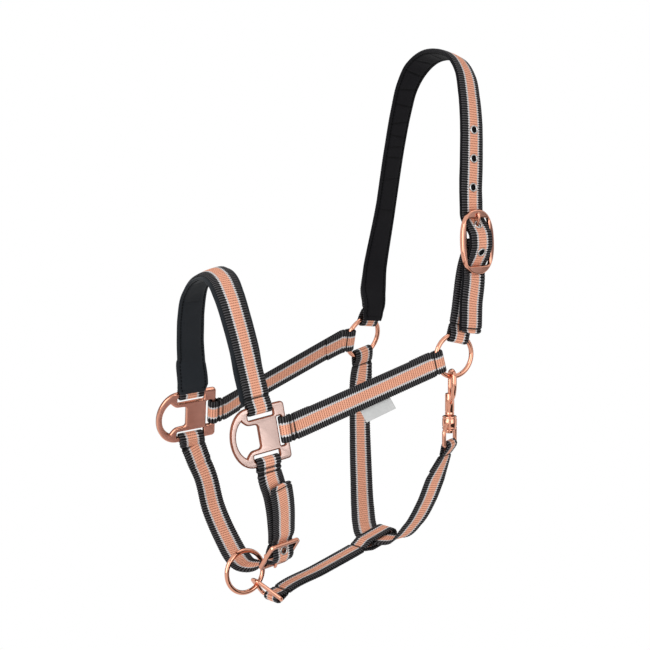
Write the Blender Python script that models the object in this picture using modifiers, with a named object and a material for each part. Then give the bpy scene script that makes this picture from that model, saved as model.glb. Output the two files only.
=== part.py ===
"""Webbing headcollar with padded crown and noseband, laid out as worn.

The nose points to -Y, the near side is +X, and the origin is under the crown at the poll.
"""
import math

import bmesh
import bpy
from mathutils import Matrix, Vector

MM = 0.001
WEB_W = 25.0
WEB_T = 2.0
GAP = 0.35
LINING_T = 3.0
LINING_W = 28.4
LINING_TAIL_W = 26.6
NOSE_PAD_T = 4.0
NOSE_PAD_W = 32.0
PAD_EDGE = 0.55
PAD_GAP = 0.8
PAD_OVER = 9.0
RING_R = 20.7
RING_WIRE = 2.3
RING_FOLD = 17.05
RING_SLACK = 3.7
RING_STITCH = 13.0
FOLD_HALF = 11.0
CHIN_RING_HALF = 11.6
LAP = 32.0
LAP_DEPTH = WEB_T + GAP
BAR_R = 2.75
BAR_STITCH = 11.0
PLATE_T = 4.0
PLATE_EDGE = 0.6
PLATE_TOP_BAR = 25.25
PLATE_REAR_BAR = 18.05
PLATE_STRAP_FORE = 5.6
BUCKLE_T = 4.0
BUCKLE_BAR_R = 1.75
BUCKLE_BAR_DROP = 2.5
TONGUE_R = 1.2
TONGUE_SLOT = 2.2
TONGUE_SLOT_R = 6.5
EYELET_HOLE = 3.1
EYELET_TUBE = 3.5
EYELET_RIM = 4.6
EYELET_RIM_T = 0.5
EYELET_SIDES = 12
EYELET_FLAT = 5.2
CROWN_PITCH = 28.3
CROWN_DIVE = 11.0
CHIN_PITCH = 20.0
NEAR_PLATE = Vector((64, -251, -345))
NEAR_RING = Vector((76, -41, -288))
OFF_PLATE = Vector((-64, -251, -345))
OFF_RING = Vector((-76, -41, -288))
NEAR_LEAN = 4.0
NEAR_DIP = 6.8
OFF_LEAN = 20.0
OFF_DIP = 2.4
OFF_TOE = 17.5
OFF_RING_LEAN = 16.0
OFF_CHEEK_TURN = -12.0
CROWN_BUCKLE = Vector((82, -17.5, -177.5))
CROWN_BUCKLE_LEAN = 4.0
CROWN_CHAPE_TILT = 33.0
CHIN_BUCKLE = Vector((38, -221.5, -469))
CHIN_RING = Vector((0, -236, -492))
JAW_BAR = Vector((0, -203, -522))
JAW_REAR = Vector((0, -66.5, -474))
JAW_RISE = 2.0
JAW_LOOP = 26.0
JAW_LOOP_R = 3.0
LINK_R = 2.0
TAG = (35.0, 20.0, 0.8)
TAG_ALONG = 0.55
TAG_DROP = 17.0
TAG_OUT = 0.6
TAG_TURN = 3.0
TAG_TILT = 28.0
SNAP_AXIS_IN = 6.5
SNAP_TURN = -19.0
EYE_DROP = 68.3
SPRING_R = 1.65
SPRING_TURNS = 4
SPRING_SIDES = 9
SPRING_TOP = 27.3
SPRING_L = 9.0
X = Vector((1, 0, 0))
Y = Vector((0, 1, 0))
Z = Vector((0, 0, 1))

for old in list(bpy.data.objects):
    bpy.data.objects.remove(old)
PARTS = bpy.data.collections.new("Headcollar")
CUTTERS = bpy.data.collections.new("Cutters")
bpy.context.scene.collection.children.link(PARTS)
bpy.context.scene.collection.children.link(CUTTERS)


def material(name, colour, metallic, roughness):
    made = bpy.data.materials.new(name)
    made.use_nodes = True
    shader = made.node_tree.nodes["Principled BSDF"]
    shader.inputs["Base Color"].default_value = (*colour, 1.0)
    shader.inputs["Metallic"].default_value = metallic
    shader.inputs["Roughness"].default_value = roughness
    return made


WEBBING = (0.30, 0.20, 0.18)
BLACK = (0.02, 0.02, 0.022)
ROSE_GOLD = (0.78, 0.48, 0.40)
NICKEL = (0.70, 0.70, 0.70)
STEEL = (0.55, 0.55, 0.55)
GREY = (0.45, 0.45, 0.46)


def add(name, mesh, colour, metallic=0.0, roughness=0.8, at=None):
    thing = bpy.data.objects.new(name, mesh)
    PARTS.objects.link(thing)
    thing.data.materials.clear()
    thing.data.materials.append(material(name, colour, metallic, roughness))
    if at is not None:
        thing.matrix_world = at
    return thing


def cutter(name, mesh, at=None):
    thing = bpy.data.objects.new(name, mesh)
    CUTTERS.objects.link(thing)
    thing.hide_render = True
    thing.display_type = "WIRE"
    if at is not None:
        thing.matrix_world = at
    return thing


def combine(thing, other, operation):
    step = thing.modifiers.new(other.name, "BOOLEAN")
    step.operation = operation
    step.solver = "EXACT"
    step.object = other


def frame(origin, x, y, z):
    turn = Matrix((x, y, z)).transposed().to_4x4()
    turn.translation = origin * MM
    return turn


def cylinder(radius, start, end, sides, tip=None):
    axis = end - start
    mesh = bpy.data.meshes.new("cylinder")
    body = bmesh.new()
    turn = axis.to_track_quat("Z", "Y").to_matrix().to_4x4()
    turn.translation = (start + end) * 0.5 * MM
    far = radius if tip is None else tip
    bmesh.ops.create_cone(body, cap_ends=True, segments=sides, radius1=radius * MM, radius2=far * MM,
                          depth=axis.length * MM, matrix=turn)
    body.to_mesh(mesh)
    body.free()
    return mesh


def box(size, at):
    mesh = bpy.data.meshes.new("box")
    body = bmesh.new()
    scale = Matrix.Diagonal((size[0] * MM, size[1] * MM, size[2] * MM, 1.0))
    bmesh.ops.create_cube(body, size=1.0, matrix=at @ scale)
    body.to_mesh(mesh)
    body.free()
    return mesh


def wire_curve(points, radius, cyclic=False, rounding=1):
    curve = bpy.data.curves.new("wire", "CURVE")
    curve.dimensions = "3D"
    curve.bevel_depth = radius * MM
    curve.bevel_resolution = rounding
    curve.use_fill_caps = True
    spline = curve.splines.new("POLY")
    spline.points.add(len(points) - 1)
    for slot, point in zip(spline.points, points):
        slot.co = (*(point * MM), 1.0)
    spline.use_cyclic_u = cyclic
    return curve


def flat_curve(outlines, thick, edge):
    curve = bpy.data.curves.new("outline", "CURVE")
    curve.dimensions = "2D"
    curve.fill_mode = "BOTH"
    curve.extrude = (thick / 2 - edge) * MM
    curve.bevel_depth = edge * MM
    curve.bevel_resolution = 1
    curve.offset = -edge * MM
    for outline in outlines:
        spline = curve.splines.new("POLY")
        spline.points.add(len(outline) - 1)
        for slot, point in zip(spline.points, outline):
            slot.co = (point[0] * MM, point[1] * MM, 0.0, 1.0)
        spline.use_cyclic_u = True
    return curve


def meshed(curve):
    holder = bpy.data.objects.new("holder", curve)
    CUTTERS.objects.link(holder)
    bpy.context.view_layer.update()
    ready = holder.evaluated_get(bpy.context.evaluated_depsgraph_get())
    mesh = bpy.data.meshes.new_from_object(ready)
    bpy.data.objects.remove(holder)
    body = bmesh.new()
    body.from_mesh(mesh)
    bmesh.ops.remove_doubles(body, verts=body.verts, dist=0.00001)
    bmesh.ops.recalc_face_normals(body, faces=body.faces)
    body.to_mesh(mesh)
    body.free()
    return mesh


def rounded(corners, radius, steps=4):
    """Corner points with each corner swapped for an arc."""
    made = []
    count = len(corners)
    for i in range(count):
        here = Vector(corners[i])
        back = (Vector(corners[i - 1]) - here).normalized()
        on = (Vector(corners[(i + 1) % count]) - here).normalized()
        half = back.angle(on) / 2
        reach = radius / math.tan(half)
        middle = here + (back + on).normalized() * (radius / math.sin(half))
        start = here + back * reach - middle
        end = here + on * reach - middle
        for k in range(steps + 1):
            part = k / steps
            made.append(middle + (start * (1 - part) + end * part).normalized() * radius)
    return made


def sewn_end(centre, axis, away, face, bar, slack, stitch, half):
    """Stations of a sewn loop, from the inner stitch round the bar to the outer stitch."""
    turn = bar + GAP + WEB_T / 2
    flat = (WEB_T + GAP) / 2
    full = WEB_W / 2

    def place(along, high, width):
        return (centre + away * along + face * high, axis.copy(), width)

    def side(sign):
        made = []
        for part in (0.25, 0.5, 0.75, 1.0):
            ease = part * part * (3 - 2 * part)
            high = sign * (turn + (flat - turn) * ease)
            made.append(place(slack + (stitch - slack) * part, high, half + (full - half) * ease))
        return made

    made = side(-1)[::-1]
    if slack > 0.5:
        made.append(place(slack, -turn, half))
    for k in range(9):
        angle = math.pi * k / 8
        made.append(place(-turn * math.sin(angle), -turn * math.cos(angle), half))
    if slack > 0.5:
        made.append(place(slack, turn, half))
    return made + side(1)


def smooth(stops, first, last, step):
    """Cubic run through the stops, with the given end directions, in pieces of about one step."""
    count = len(stops)
    tangents = []
    for i in range(count):
        if i == 0:
            tangents.append(first.normalized())
        elif i == count - 1:
            tangents.append(last.normalized())
        else:
            before = stops[i][0] - stops[i - 1][0]
            after = stops[i + 1][0] - stops[i][0]
            mixed = before.normalized() * after.length + after.normalized() * before.length
            tangents.append(mixed.normalized())
    made = []
    for i in range(count - 1):
        (p0, w0, h0), (p1, w1, h1) = stops[i], stops[i + 1]
        span = (p1 - p0).length
        pieces = max(1, round(span / step))
        for k in range(1, pieces + 1):
            t = k / pieces
            a = 2 * t ** 3 - 3 * t ** 2 + 1
            b = t ** 3 - 2 * t ** 2 + t
            c = 3 * t ** 2 - 2 * t ** 3
            d = t ** 3 - t ** 2
            point = p0 * a + tangents[i] * (b * span) + p1 * c + tangents[i + 1] * (d * span)
            made.append((point, w0.lerp(w1, t).normalized(), h0 + (h1 - h0) * t))
    return made


def tidy(route):
    """The route with each width direction square to it, as (point, along, across, half width)."""
    made = []
    for i, (point, across, half) in enumerate(route):
        ahead = route[min(i + 1, len(route) - 1)][0]
        behind = route[max(i - 1, 0)][0]
        along = (ahead - behind).normalized()
        square = (across - along * across.dot(along)).normalized()
        made.append((point, along, square, half))
    return made


def strip(name, route, thick, colour, crown=None):
    """A flat blank laid along the route and given its thickness; a pad is crowned, thinner at its edges."""
    stations = tidy(route)
    columns = 1 if crown is None else 2
    mesh = bpy.data.meshes.new(name)
    body = bmesh.new()
    bmesh.ops.create_grid(body, x_segments=len(stations) - 1, y_segments=columns, size=1.0)
    row = sorted(body.verts, key=lambda q: (round(q.co.x, 6), q.co.y))
    for i, (point, along, across, half) in enumerate(stations):
        for k in range(columns + 1):
            row[(columns + 1) * i + k].co = (point + across * half * (2 * k / columns - 1)) * MM
    body.verts.index_update()
    middle = [q.index for q in row[1::3]]
    body.to_mesh(mesh)
    body.free()
    thing = add(name, mesh, colour)
    shell = thing.modifiers.new("thickness", "SOLIDIFY")
    shell.thickness = thick * MM
    shell.offset = 0.0
    shell.use_even_offset = True
    if crown is not None:
        thing.vertex_groups.new(name="crown").add(middle, 1.0, "REPLACE")
        shell.vertex_group = "crown"
        shell.thickness_vertex_group = crown
    return thing


def lengths(route):
    run = [0.0]
    for i in range(1, len(route)):
        run.append(run[-1] + (route[i][0] - route[i - 1][0]).length)
    return run


def sample(route, s):
    run = lengths(route)
    stations = tidy(route)
    for i in range(1, len(route)):
        if run[i] >= s or i == len(route) - 1:
            part = (s - run[i - 1]) / (run[i] - run[i - 1])
            a, b = stations[i - 1], stations[i]
            along = a[1].lerp(b[1], part).normalized()
            across = a[2].lerp(b[2], part)
            across = (across - along * across.dot(along)).normalized()
            return a[0].lerp(b[0], part), along, across, a[3] + (b[3] - a[3]) * part
    return None


def nearest(route, point):
    run = lengths(route)
    best = min(range(0, int(run[-1] * 4)), key=lambda k: (sample(route, k / 4)[0] - point).length)
    return best / 4


def offset_route(route, start, end, depth, half, outward):
    """A second layer under part of a route: depth and half width are functions of the run."""
    run = lengths(route)
    marks = [start] + [s for s in run if start + 1.0 < s < end - 1.0] + [end]
    made = []
    for s in marks:
        point, along, across, _ = sample(route, s)
        normal = along.cross(across) * outward
        made.append((point - normal * depth(s), across, half(s)))
    return made


def lap(line, length, face, reverse=False):
    """The sewn-back layer under one end of a run, from its free end to the stitch."""
    if reverse:
        line = line[::-1]
    _, along, across, _ = sample(line, 0.5)
    outward = 1 if along.cross(across).dot(face) > 0 else -1
    layer = offset_route(line, 0.0, length, lambda s: WEB_T + GAP, lambda s: WEB_W / 2, outward)
    return layer[:0:-1]


def flatten(route, marks, reach):
    """The route held straight at each mark, and the places for eyelets there."""
    run = lengths(route)
    found = [(s, route[i]) for i, s in enumerate(run) if all(abs(s - m) > reach + 1.0 for m in marks)]
    places = []
    for mark in marks:
        _, _, across, half = sample(route, mark)
        ends = [sample(route, mark - reach)[0], sample(route, mark + reach)[0]]
        found.append((mark - reach, (ends[0], across, half)))
        found.append((mark + reach, (ends[1], across, half)))
        along = (ends[1] - ends[0]).normalized()
        across = (across - along * across.dot(along)).normalized()
        places.append(((ends[0] + ends[1]) / 2, along, across))
    found.sort(key=lambda pair: pair[0])
    return [station for _, station in found], places


def ease(s, a, b):
    part = min(1.0, max(0.0, (s - a) / (b - a)))
    return part * part * (3 - 2 * part)


def turned(a, b, degrees):
    """Two square directions turned in their own plane, a towards b."""
    angle = math.radians(degrees)
    return a * math.cos(angle) + b * math.sin(angle), b * math.cos(angle) - a * math.sin(angle)


def side_frame(plate, ring, lean, dip=0.0, toe=0.0):
    """Along the cheek to the rear, up the fitting, and out of it.

    Its top leans inwards, its rear end dips from the line of the cheek, and it toes in.
    """
    back = (ring - plate).normalized()
    up = (Z - back * back.z).normalized()
    out = back.cross(up)
    if out.x * plate.x < 0:
        out = -out
    out, up = turned(out, up, lean)
    up, back = turned(up, back, dip)
    out, back = turned(out, back, toe)
    return back, up, out


def around(back, up, degrees):
    angle = math.radians(degrees)
    radial = back * math.cos(angle) + up * math.sin(angle)
    tangent = back * math.sin(angle) - up * math.cos(angle)
    return radial, tangent


def ring_end(centre, back, up, out, degrees):
    radial, tangent = around(back, up, degrees)
    return sewn_end(centre + radial * RING_FOLD, tangent, radial, out, RING_WIRE, RING_SLACK,
                    RING_STITCH, FOLD_HALF), radial


def ring(name, centre, normal, radius):
    bpy.ops.mesh.primitive_torus_add(major_segments=32, minor_segments=8, major_radius=radius * MM,
                                     minor_radius=RING_WIRE * MM)
    blank = bpy.context.object
    mesh = blank.data
    bpy.data.objects.remove(blank)
    turn = normal.to_track_quat("Z", "Y").to_matrix().to_4x4()
    turn.translation = centre * MM
    return add(name, mesh, ROSE_GOLD, 1.0, 0.25, turn)


def eyelet(name, place, outward, strap, lining=None):
    """A two-flanged eyelet through the strap, turned from its section."""
    point, along, across = place
    normal = along.cross(across) * outward
    top = WEB_T / 2 + 0.2
    section = [(EYELET_HOLE, -top - 0.3), (EYELET_RIM, -top - 0.3), (EYELET_RIM, -top), (EYELET_TUBE, -top),
               (EYELET_TUBE, top), (EYELET_RIM, top), (EYELET_RIM - 0.4, top + EYELET_RIM_T),
               (EYELET_HOLE + 0.4, top + EYELET_RIM_T), (EYELET_HOLE, top + 0.1)]
    mesh = bpy.data.meshes.new(name)
    body = bmesh.new()
    loop = [body.verts.new((r * MM, 0.0, z * MM)) for r, z in section]
    for i in range(len(loop)):
        body.edges.new((loop[i - 1], loop[i]))
    body.to_mesh(mesh)
    body.free()
    turn = frame(point, across, normal.cross(across), normal)
    thing = add(name, mesh, NICKEL, 1.0, 0.3, turn)
    spin = thing.modifiers.new("turn", "SCREW")
    spin.steps = EYELET_SIDES
    spin.render_steps = EYELET_SIDES
    spin.use_normal_flip = True
    spin.use_merge_vertices = True
    spin.merge_threshold = 0.00001
    start, end = point - normal * 9, point + normal * 6
    hole = cutter(name + "_hole", cylinder(EYELET_TUBE + GAP, start, end, EYELET_SIDES))
    combine(strap, hole, "DIFFERENCE")
    if lining is not None:
        wide = cutter(name + "_lining_hole", cylinder(EYELET_RIM + 1.0, start, end, EYELET_SIDES))
        combine(lining, wide, "DIFFERENCE")


def buckle(name, centre, across, up, out, outer, opening):
    """Flat cast frame with a round centre bar set to its rear."""
    at = frame(centre - out * BUCKLE_BAR_DROP, across, up, out)
    lift = Matrix.Translation((0.0, 0.0, BUCKLE_BAR_DROP * MM))
    mesh = meshed(flat_curve([outer, opening], BUCKLE_T, PLATE_EDGE))
    mesh.transform(lift)
    thing = add(name, mesh, ROSE_GOLD, 1.0, 0.25, at)
    reach = max(p[0] for p in opening) + 2.0
    bar = cutter(name + "_bar", cylinder(BUCKLE_BAR_R, X * -reach, X * reach, 12), at)
    combine(thing, bar, "UNION")
    return thing


def tongue(name, centre, across, up, out, sign, place, tip):
    """Wire tongue: an eye round the bar, then the shank through the eyelet to rest on the frame."""
    turn = BUCKLE_BAR_R + GAP + TONGUE_R
    points = []
    for degrees in (-245, -210, -175, -140, -105, -70, -35, 0):
        angle = math.radians(degrees)
        points.append(Vector((0.0, sign * turn * math.sin(angle), turn * math.cos(angle))))
    middle, along, _ = place
    along = along if along.dot(out) > 0 else -along
    through = (up * (sign * along.dot(out)) + out * abs(along.dot(up)) + up * sign).normalized()
    for reach in (-2.4, 2.4):
        point = middle + through * reach - centre
        points.append(Vector((0.0, point.dot(up), point.dot(out) + BUCKLE_BAR_DROP)))
    for v, high in tip:
        points.append(Vector((0.0, sign * v, high + BUCKLE_BAR_DROP)))
    mesh = meshed(wire_curve(points, TONGUE_R))
    return add(name, mesh, ROSE_GOLD, 1.0, 0.25, frame(centre - out * BUCKLE_BAR_DROP, across, up, out))


def side_plate(name, centre, back, up, out):
    front = []
    for k in range(13):
        angle = math.radians(90 + 15 * k)
        front.append((-19.4 + 21.4 * math.cos(angle), 28.5 * math.sin(angle)))
    tail = [tuple(p) for p in rounded([(-19, -27.5), (20.3, -27.5), (20.3, 27.5), (-19, 27.5)], 3.5)]
    outline = front + [p for p in tail if p[0] > 5]
    upper = [(-10.4, 9.2), (-12, 11.2), (-16.3, 11.7), (-20.4, 12.2), (-23.5, 14.3), (-26.5, 17.6)]
    bow = []
    for k in range(7):
        angle = math.radians(117 + 21 * k)
        bow.append((-19.4 + 15.7 * math.cos(angle), 19.9 * math.sin(angle)))
    opening = upper + bow + [(u, -v) for u, v in reversed(upper)]
    slots = [rounded([(-19.4, 16.7), (8.2, 16.7), (8.2, 23), (-19.4, 23)], 1.2, 2),
             rounded([(-19.4, -23), (8.2, -23), (8.2, -16.7), (-19.4, -16.7)], 1.2, 2),
             rounded([(10.5, -14.2), (15.8, -14.2), (15.8, 14.2), (10.5, 14.2)], 1.2, 2)]
    mesh = meshed(flat_curve([outline, opening] + slots, PLATE_T, PLATE_EDGE))
    if back.cross(up).dot(out) < 0:
        mesh.transform(Matrix.Diagonal((1.0, 1.0, -1.0, 1.0)))
        mesh.flip_normals()
    return add(name, mesh, ROSE_GOLD, 1.0, 0.3, frame(centre, back, up, back.cross(up)))


near_back, near_up, near_out = side_frame(NEAR_PLATE, NEAR_RING, NEAR_LEAN, NEAR_DIP)
ring_back, ring_up, ring_out = side_frame(NEAR_PLATE, NEAR_RING, 0.0)
off_back, off_up, off_out = side_frame(OFF_PLATE, OFF_RING, OFF_LEAN, OFF_DIP, OFF_TOE)
offr_back, offr_up, offr_out = side_frame(OFF_PLATE, OFF_RING, OFF_RING_LEAN)

side_plate("near_side_plate", NEAR_PLATE, near_back, near_up, near_out)
side_plate("off_side_plate", OFF_PLATE, off_back, off_up, off_out)
ring("near_cheek_ring", NEAR_RING, ring_out, RING_R)
ring("off_cheek_ring", OFF_RING, offr_out, RING_R)
ring("chin_ring", CHIN_RING, X, RING_R)


def sewn_strap(name, first, line, last, first_face, last_face, laps=(LAP - BAR_STITCH, LAP - BAR_STITCH)):
    """A strap sewn back at both ends: lap, loop, run, loop, lap."""
    start = lap(line, laps[0], first_face)
    end = lap(line, laps[1], last_face, True)
    return strip(name, start + first + line[1:-1] + last[::-1] + end[::-1], WEB_T, WEBBING)


def plate_end(bar, axis, away, out):
    return sewn_end(bar, axis, away, out, BAR_R, 0, BAR_STITCH, WEB_W / 2)


def level_end(plate, plate_frame, side):
    """Sewn end on the top bar of a side plate, or with side -1 on its bottom bar."""
    back, up, out = plate_frame
    bar = plate + up * (side * PLATE_TOP_BAR) - back * PLATE_STRAP_FORE
    return plate_end(bar, back, up * side, out)


def tongue_slot(strap, bar, across):
    """The cut in a sewn fold that lets the tongue's eye reach the bar."""
    hole = cylinder(TONGUE_SLOT_R, bar - across * TONGUE_SLOT, bar + across * TONGUE_SLOT, 20)
    combine(strap, cutter(strap.name + "_slot", hole), "DIFFERENCE")


def cheek(name, plate, plate_frame, centre, ring_frame):
    p_back, p_up, p_out = plate_frame
    r_back, r_up, r_out = ring_frame
    front = plate_end(plate + p_back * PLATE_REAR_BAR, p_up, p_back, p_out)
    rear = sewn_end(centre - r_back * RING_FOLD, r_up, -r_back, r_out, RING_WIRE, RING_SLACK,
                    RING_STITCH, FOLD_HALF)
    straight = (rear[-1][0] - front[-1][0]).normalized()
    line = [front[-1]] + smooth([front[-1], rear[-1]], straight, straight, 16)
    sewn_strap(name, front, line, rear, p_out, r_out)


near_frame = (near_back, near_up, near_out)
off_frame = (off_back, off_up, off_out)
cheek("near_cheek_strap", NEAR_PLATE, near_frame, NEAR_RING, (ring_back, ring_up, ring_out))
off_hold = turned(offr_back, offr_up, OFF_CHEEK_TURN)
cheek("off_cheek_strap", OFF_PLATE, off_frame, OFF_RING, (*off_hold, offr_out))

tag_at = NEAR_PLATE.lerp(NEAR_RING, TAG_ALONG) - ring_up * TAG_DROP + ring_out * TAG_OUT
tag_back, tag_up = turned(ring_back, ring_up, TAG_TURN)
tag_out, tag_up = turned(ring_out, tag_up, TAG_TILT)
tag_place = frame(tag_at, tag_back, tag_up, tag_out)
add("woven_tag", box(TAG, Matrix()), GREY, 0.0, 0.9, tag_place)

off_nose = level_end(OFF_PLATE, off_frame, 1)
near_nose = level_end(NEAR_PLATE, near_frame, 1)
NOSE = [(56.5, -264, -288), (50.5, -267, -263), (44, -270, -240), (33, -272, -216), (17, -271, -200.5)]
nose_across = Vector((0, 0.966, 0.26))
stops = [off_nose[-1]]
stops += [(Vector((-x, y, z)), nose_across, WEB_W / 2) for x, y, z in NOSE]
stops += [(Vector((0, -270, -196)), nose_across, WEB_W / 2)]
stops += [(Vector(p), nose_across, WEB_W / 2) for p in reversed(NOSE)]
stops += [near_nose[-1]]
nose_line = [off_nose[-1]] + smooth(stops, off_up, -near_up, 9)
sewn_strap("noseband_strap", off_nose, nose_line, near_nose, off_out, near_out)


def over_fold(end, away):
    """Stations straight on from a run over its sewn fold, for the pad below."""
    return [(end[0] - away * (PAD_OVER * (3 - k) / 3), end[1], end[2]) for k in range(3)]


def fold_rise(reach, bar, slack, stitch):
    """How much further a pad stands off over the swelling of a sewn fold."""
    rise = bar + GAP + WEB_T / 2 - LAP_DEPTH / 2
    return rise * (1 - ease(stitch - PAD_OVER + reach, slack, stitch))


pad_line = over_fold(off_nose[-1], off_up) + nose_line + over_fold(near_nose[-1], near_up)[::-1]
pad_len = lengths(pad_line)[-1]
pad_lap = PAD_OVER + LAP - BAR_STITCH + 2


def nose_depth(s):
    """Depth of the pad's middle under the strap: over the folds and laps, then close under the strap."""
    reach = min(s, pad_len - s)
    lapped = LAP_DEPTH * (1 - ease(reach, pad_lap, pad_lap + 12))
    return WEB_T / 2 + PAD_GAP + NOSE_PAD_T / 2 + lapped + fold_rise(reach, BAR_R, 0, BAR_STITCH)


def nose_half(s):
    reach = min(s, pad_len - s)
    return NOSE_PAD_W / 2 - 3.0 * (1 - ease(reach, 0, 6))


nose_layer = offset_route(pad_line, 0, pad_len, nose_depth, nose_half, 1)
strip("noseband_pad", nose_layer, NOSE_PAD_T, BLACK, PAD_EDGE)

lean = math.radians(CROWN_BUCKLE_LEAN)
cb_up = Vector((-math.sin(lean), 0, math.cos(lean)))
cb_out = Vector((math.cos(lean), 0, math.sin(lean)))
cb_across = cb_up.cross(cb_out)


def crown_stop(along, high, half=WEB_W / 2):
    return (CROWN_BUCKLE + cb_up * along + cb_out * high, Y, half)


off_crown, off_crown_dir = ring_end(OFF_RING, offr_back, offr_up, offr_out, 66)
top_across = Vector((0, 0.82, -0.57))
stops = [off_crown[-1]]
OFF_CROWN = [(-78, -29, -241, (0.15, 1, -0.15)), (-71.5, -17, -150, (-0.15, 1, 0)),
             (-65.5, -11, -92, (-0.15, 1, -0.1)), (-60, -7, -56, (-0.12, 1, -0.2)),
             (-54, -4, -32, (-0.1, 1, -0.35)), (-44, 0, -14, (0, 0.9, -0.5)), (-26, 2, -2.5, top_across)]
NEAR_CROWN = [(0, 2.5, 1.5, top_across), (25, 2, -3, top_across), (41.5, 0, -16, (0, 0.9, -0.5)),
              (51.5, -3, -36, (0, 1, -0.35)), (59.5, -6.5, -60, (0, 1, -0.2)), (66, -11, -96, (0, 1, -0.05))]
for x, y, z, across in OFF_CROWN + NEAR_CROWN:
    stops.append((Vector((x, y, z)), Vector(across).normalized(), WEB_W / 2))
BUCKLE_RUN = [(33, -6.2), (26.3, -6.2), (16, 0.8), (8.5, 6.6), (0, 7.4), (-9, 6.2), (-17, 0), (-26.3, -6.2),
              (-33, -6.2)]
stops += [crown_stop(v, h) for v, h in BUCKLE_RUN]
stops += [(Vector((82.5, -23.5, -236)), Vector((0, 1, -0.1)).normalized(), WEB_W / 2),
          (Vector((86.5, -28, -266)), Vector((0, 1, -0.15)).normalized(), WEB_W / 2)]
crown_line = [off_crown[-1]] + smooth(stops, off_crown_dir, Vector((0, -0.15, -1)), 7)
crown_hit = nearest(crown_line, crown_stop(*BUCKLE_RUN[2])[0])
crown_marks = [crown_hit + CROWN_PITCH * (k - 3) - (CROWN_DIVE if k < 3 else 0) for k in range(5)]
crown_line, crown_places = flatten(crown_line, crown_marks, EYELET_FLAT)
crown_start = lap(crown_line, LAP - BAR_STITCH, offr_out)
crown = strip("crown_strap", crown_start + off_crown + crown_line[1:], WEB_T, WEBBING)
lining_line = over_fold(off_crown[-1], off_crown_dir) + crown_line
lining_len = lengths(lining_line)[-1]
lining_lap = PAD_OVER + LAP - BAR_STITCH + 2
lining_hit = PAD_OVER + crown_hit


def crown_depth(s):
    lapped = LAP_DEPTH * (1 - ease(s, lining_lap, lining_lap + 12))
    return WEB_T / 2 + PAD_GAP + LINING_T / 2 + lapped + fold_rise(s, RING_WIRE, RING_SLACK, RING_STITCH)


def crown_half(s):
    wide = LINING_W / 2 - 2.0 * (1 - ease(s, 0, 6))
    return wide + (LINING_TAIL_W / 2 - wide) * ease(s, lining_hit - 50, lining_hit - 20)


crown_layer = offset_route(lining_line, 0, lining_len - 1.5, crown_depth, crown_half, 1)
lining = strip("crown_lining", crown_layer, LINING_T, BLACK, PAD_EDGE)
for k in range(5):
    eyelet("crown_eyelet_%d" % (k + 1), crown_places[k], 1, crown, lining)
groove = cylinder(TONGUE_R + 1.3, crown_stop(1, 0.8)[0], crown_places[3][0], EYELET_SIDES)
combine(lining, cutter("tongue_groove", groove), "DIFFERENCE")

oval = []
for k in range(40):
    angle = 2 * math.pi * k / 40
    cos, sin = math.cos(angle), math.sin(angle)
    oval.append((19.8 * math.copysign(abs(cos) ** 0.83, cos), 31.5 * math.copysign(abs(sin) ** 0.83, sin)))
window = rounded([(-13.7, -23.3), (13.7, -23.3), (13.7, 23.3), (-13.7, 23.3)], 4.5, 3)
buckle("crown_buckle_frame", CROWN_BUCKLE, cb_across, cb_up, cb_out, oval, window)
tongue("crown_buckle_tongue", CROWN_BUCKLE, cb_across, cb_up, cb_out, 1, crown_places[3],
       ((23.5, 3.7), (28.5, 3.7)))

near_chape, near_chape_dir = ring_end(NEAR_RING, ring_back, ring_up, ring_out, 61)
cb_bar = CROWN_BUCKLE - cb_out * BUCKLE_BAR_DROP
chape_face, chape_away = turned(cb_out, -cb_up, CROWN_CHAPE_TILT)
chape_top = sewn_end(cb_bar, -cb_across, chape_away, chape_face, BUCKLE_BAR_R, 0, BAR_STITCH, WEB_W / 2)
if chape_top[0][1].dot(near_chape[0][1]) < 0:
    chape_top = [(p, -w, h) for p, w, h in chape_top]
chape_line = [near_chape[-1]] + smooth([near_chape[-1], chape_top[-1]], near_chape_dir, -chape_away, 14)
chape_lap = (lengths(chape_line)[-1] - GAP) / 2
chape_laps = (chape_lap, chape_lap)
chape = sewn_strap("crown_chape", near_chape, chape_line, chape_top, ring_out, chape_face, chape_laps)
tongue_slot(chape, cb_bar, cb_across)

ch_up = Vector((0.68, -0.02, 0.73)).normalized()
ch_across = Vector((-0.08, 0.985, 0.14))
ch_across = (ch_across - ch_up * ch_across.dot(ch_up)).normalized()
ch_out = ch_across.cross(ch_up)
plain = rounded([(-18, -18.5), (18, -18.5), (18, 18.5), (-18, 18.5)], 5.0, 4)
gate = rounded([(-13.9, -14.5), (13.9, -14.5), (13.9, 14.5), (-13.9, 14.5)], 2.0, 2)
buckle("chin_buckle_frame", CHIN_BUCKLE, ch_across, ch_up, ch_out, plain, gate)


def chin_stop(along, high):
    return (CHIN_BUCKLE + ch_up * along + ch_out * high, ch_across, WEB_W / 2)


off_chin = level_end(OFF_PLATE, off_frame, -1)
low_across = Vector((0, 0.94, 0.34))
stops = [off_chin[-1]]
for x, y, z in ((-66.5, -240, -405), (-55, -236, -440), (-36, -233, -467), (-16, -234, -481)):
    stops.append((Vector((x, y, z)), low_across, WEB_W / 2))
stops.append((Vector((0, -234.8, -485.4)), low_across, CHIN_RING_HALF))
CHIN_RUN = [(-20, -5.7), (-16.2, -5.5), (-9, 1.9), (-3.4, 5.9), (2, 5.9), (8, 2.6), (15.8, -5.5),
            (19.5, -5.7)]
stops += [chin_stop(v, h) for v, h in CHIN_RUN]
stops += [(Vector((54, -226.5, -437)), Vector((0, 0.97, 0.24)), WEB_W / 2),
          (Vector((64, -234, -414)), Vector((0, 0.96, 0.28)), WEB_W / 2),
          (Vector((69.5, -241, -394)), Vector((0, 0.96, 0.28)), WEB_W / 2)]
chin_dir = (stops[1][0] - stops[0][0]).normalized()
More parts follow.
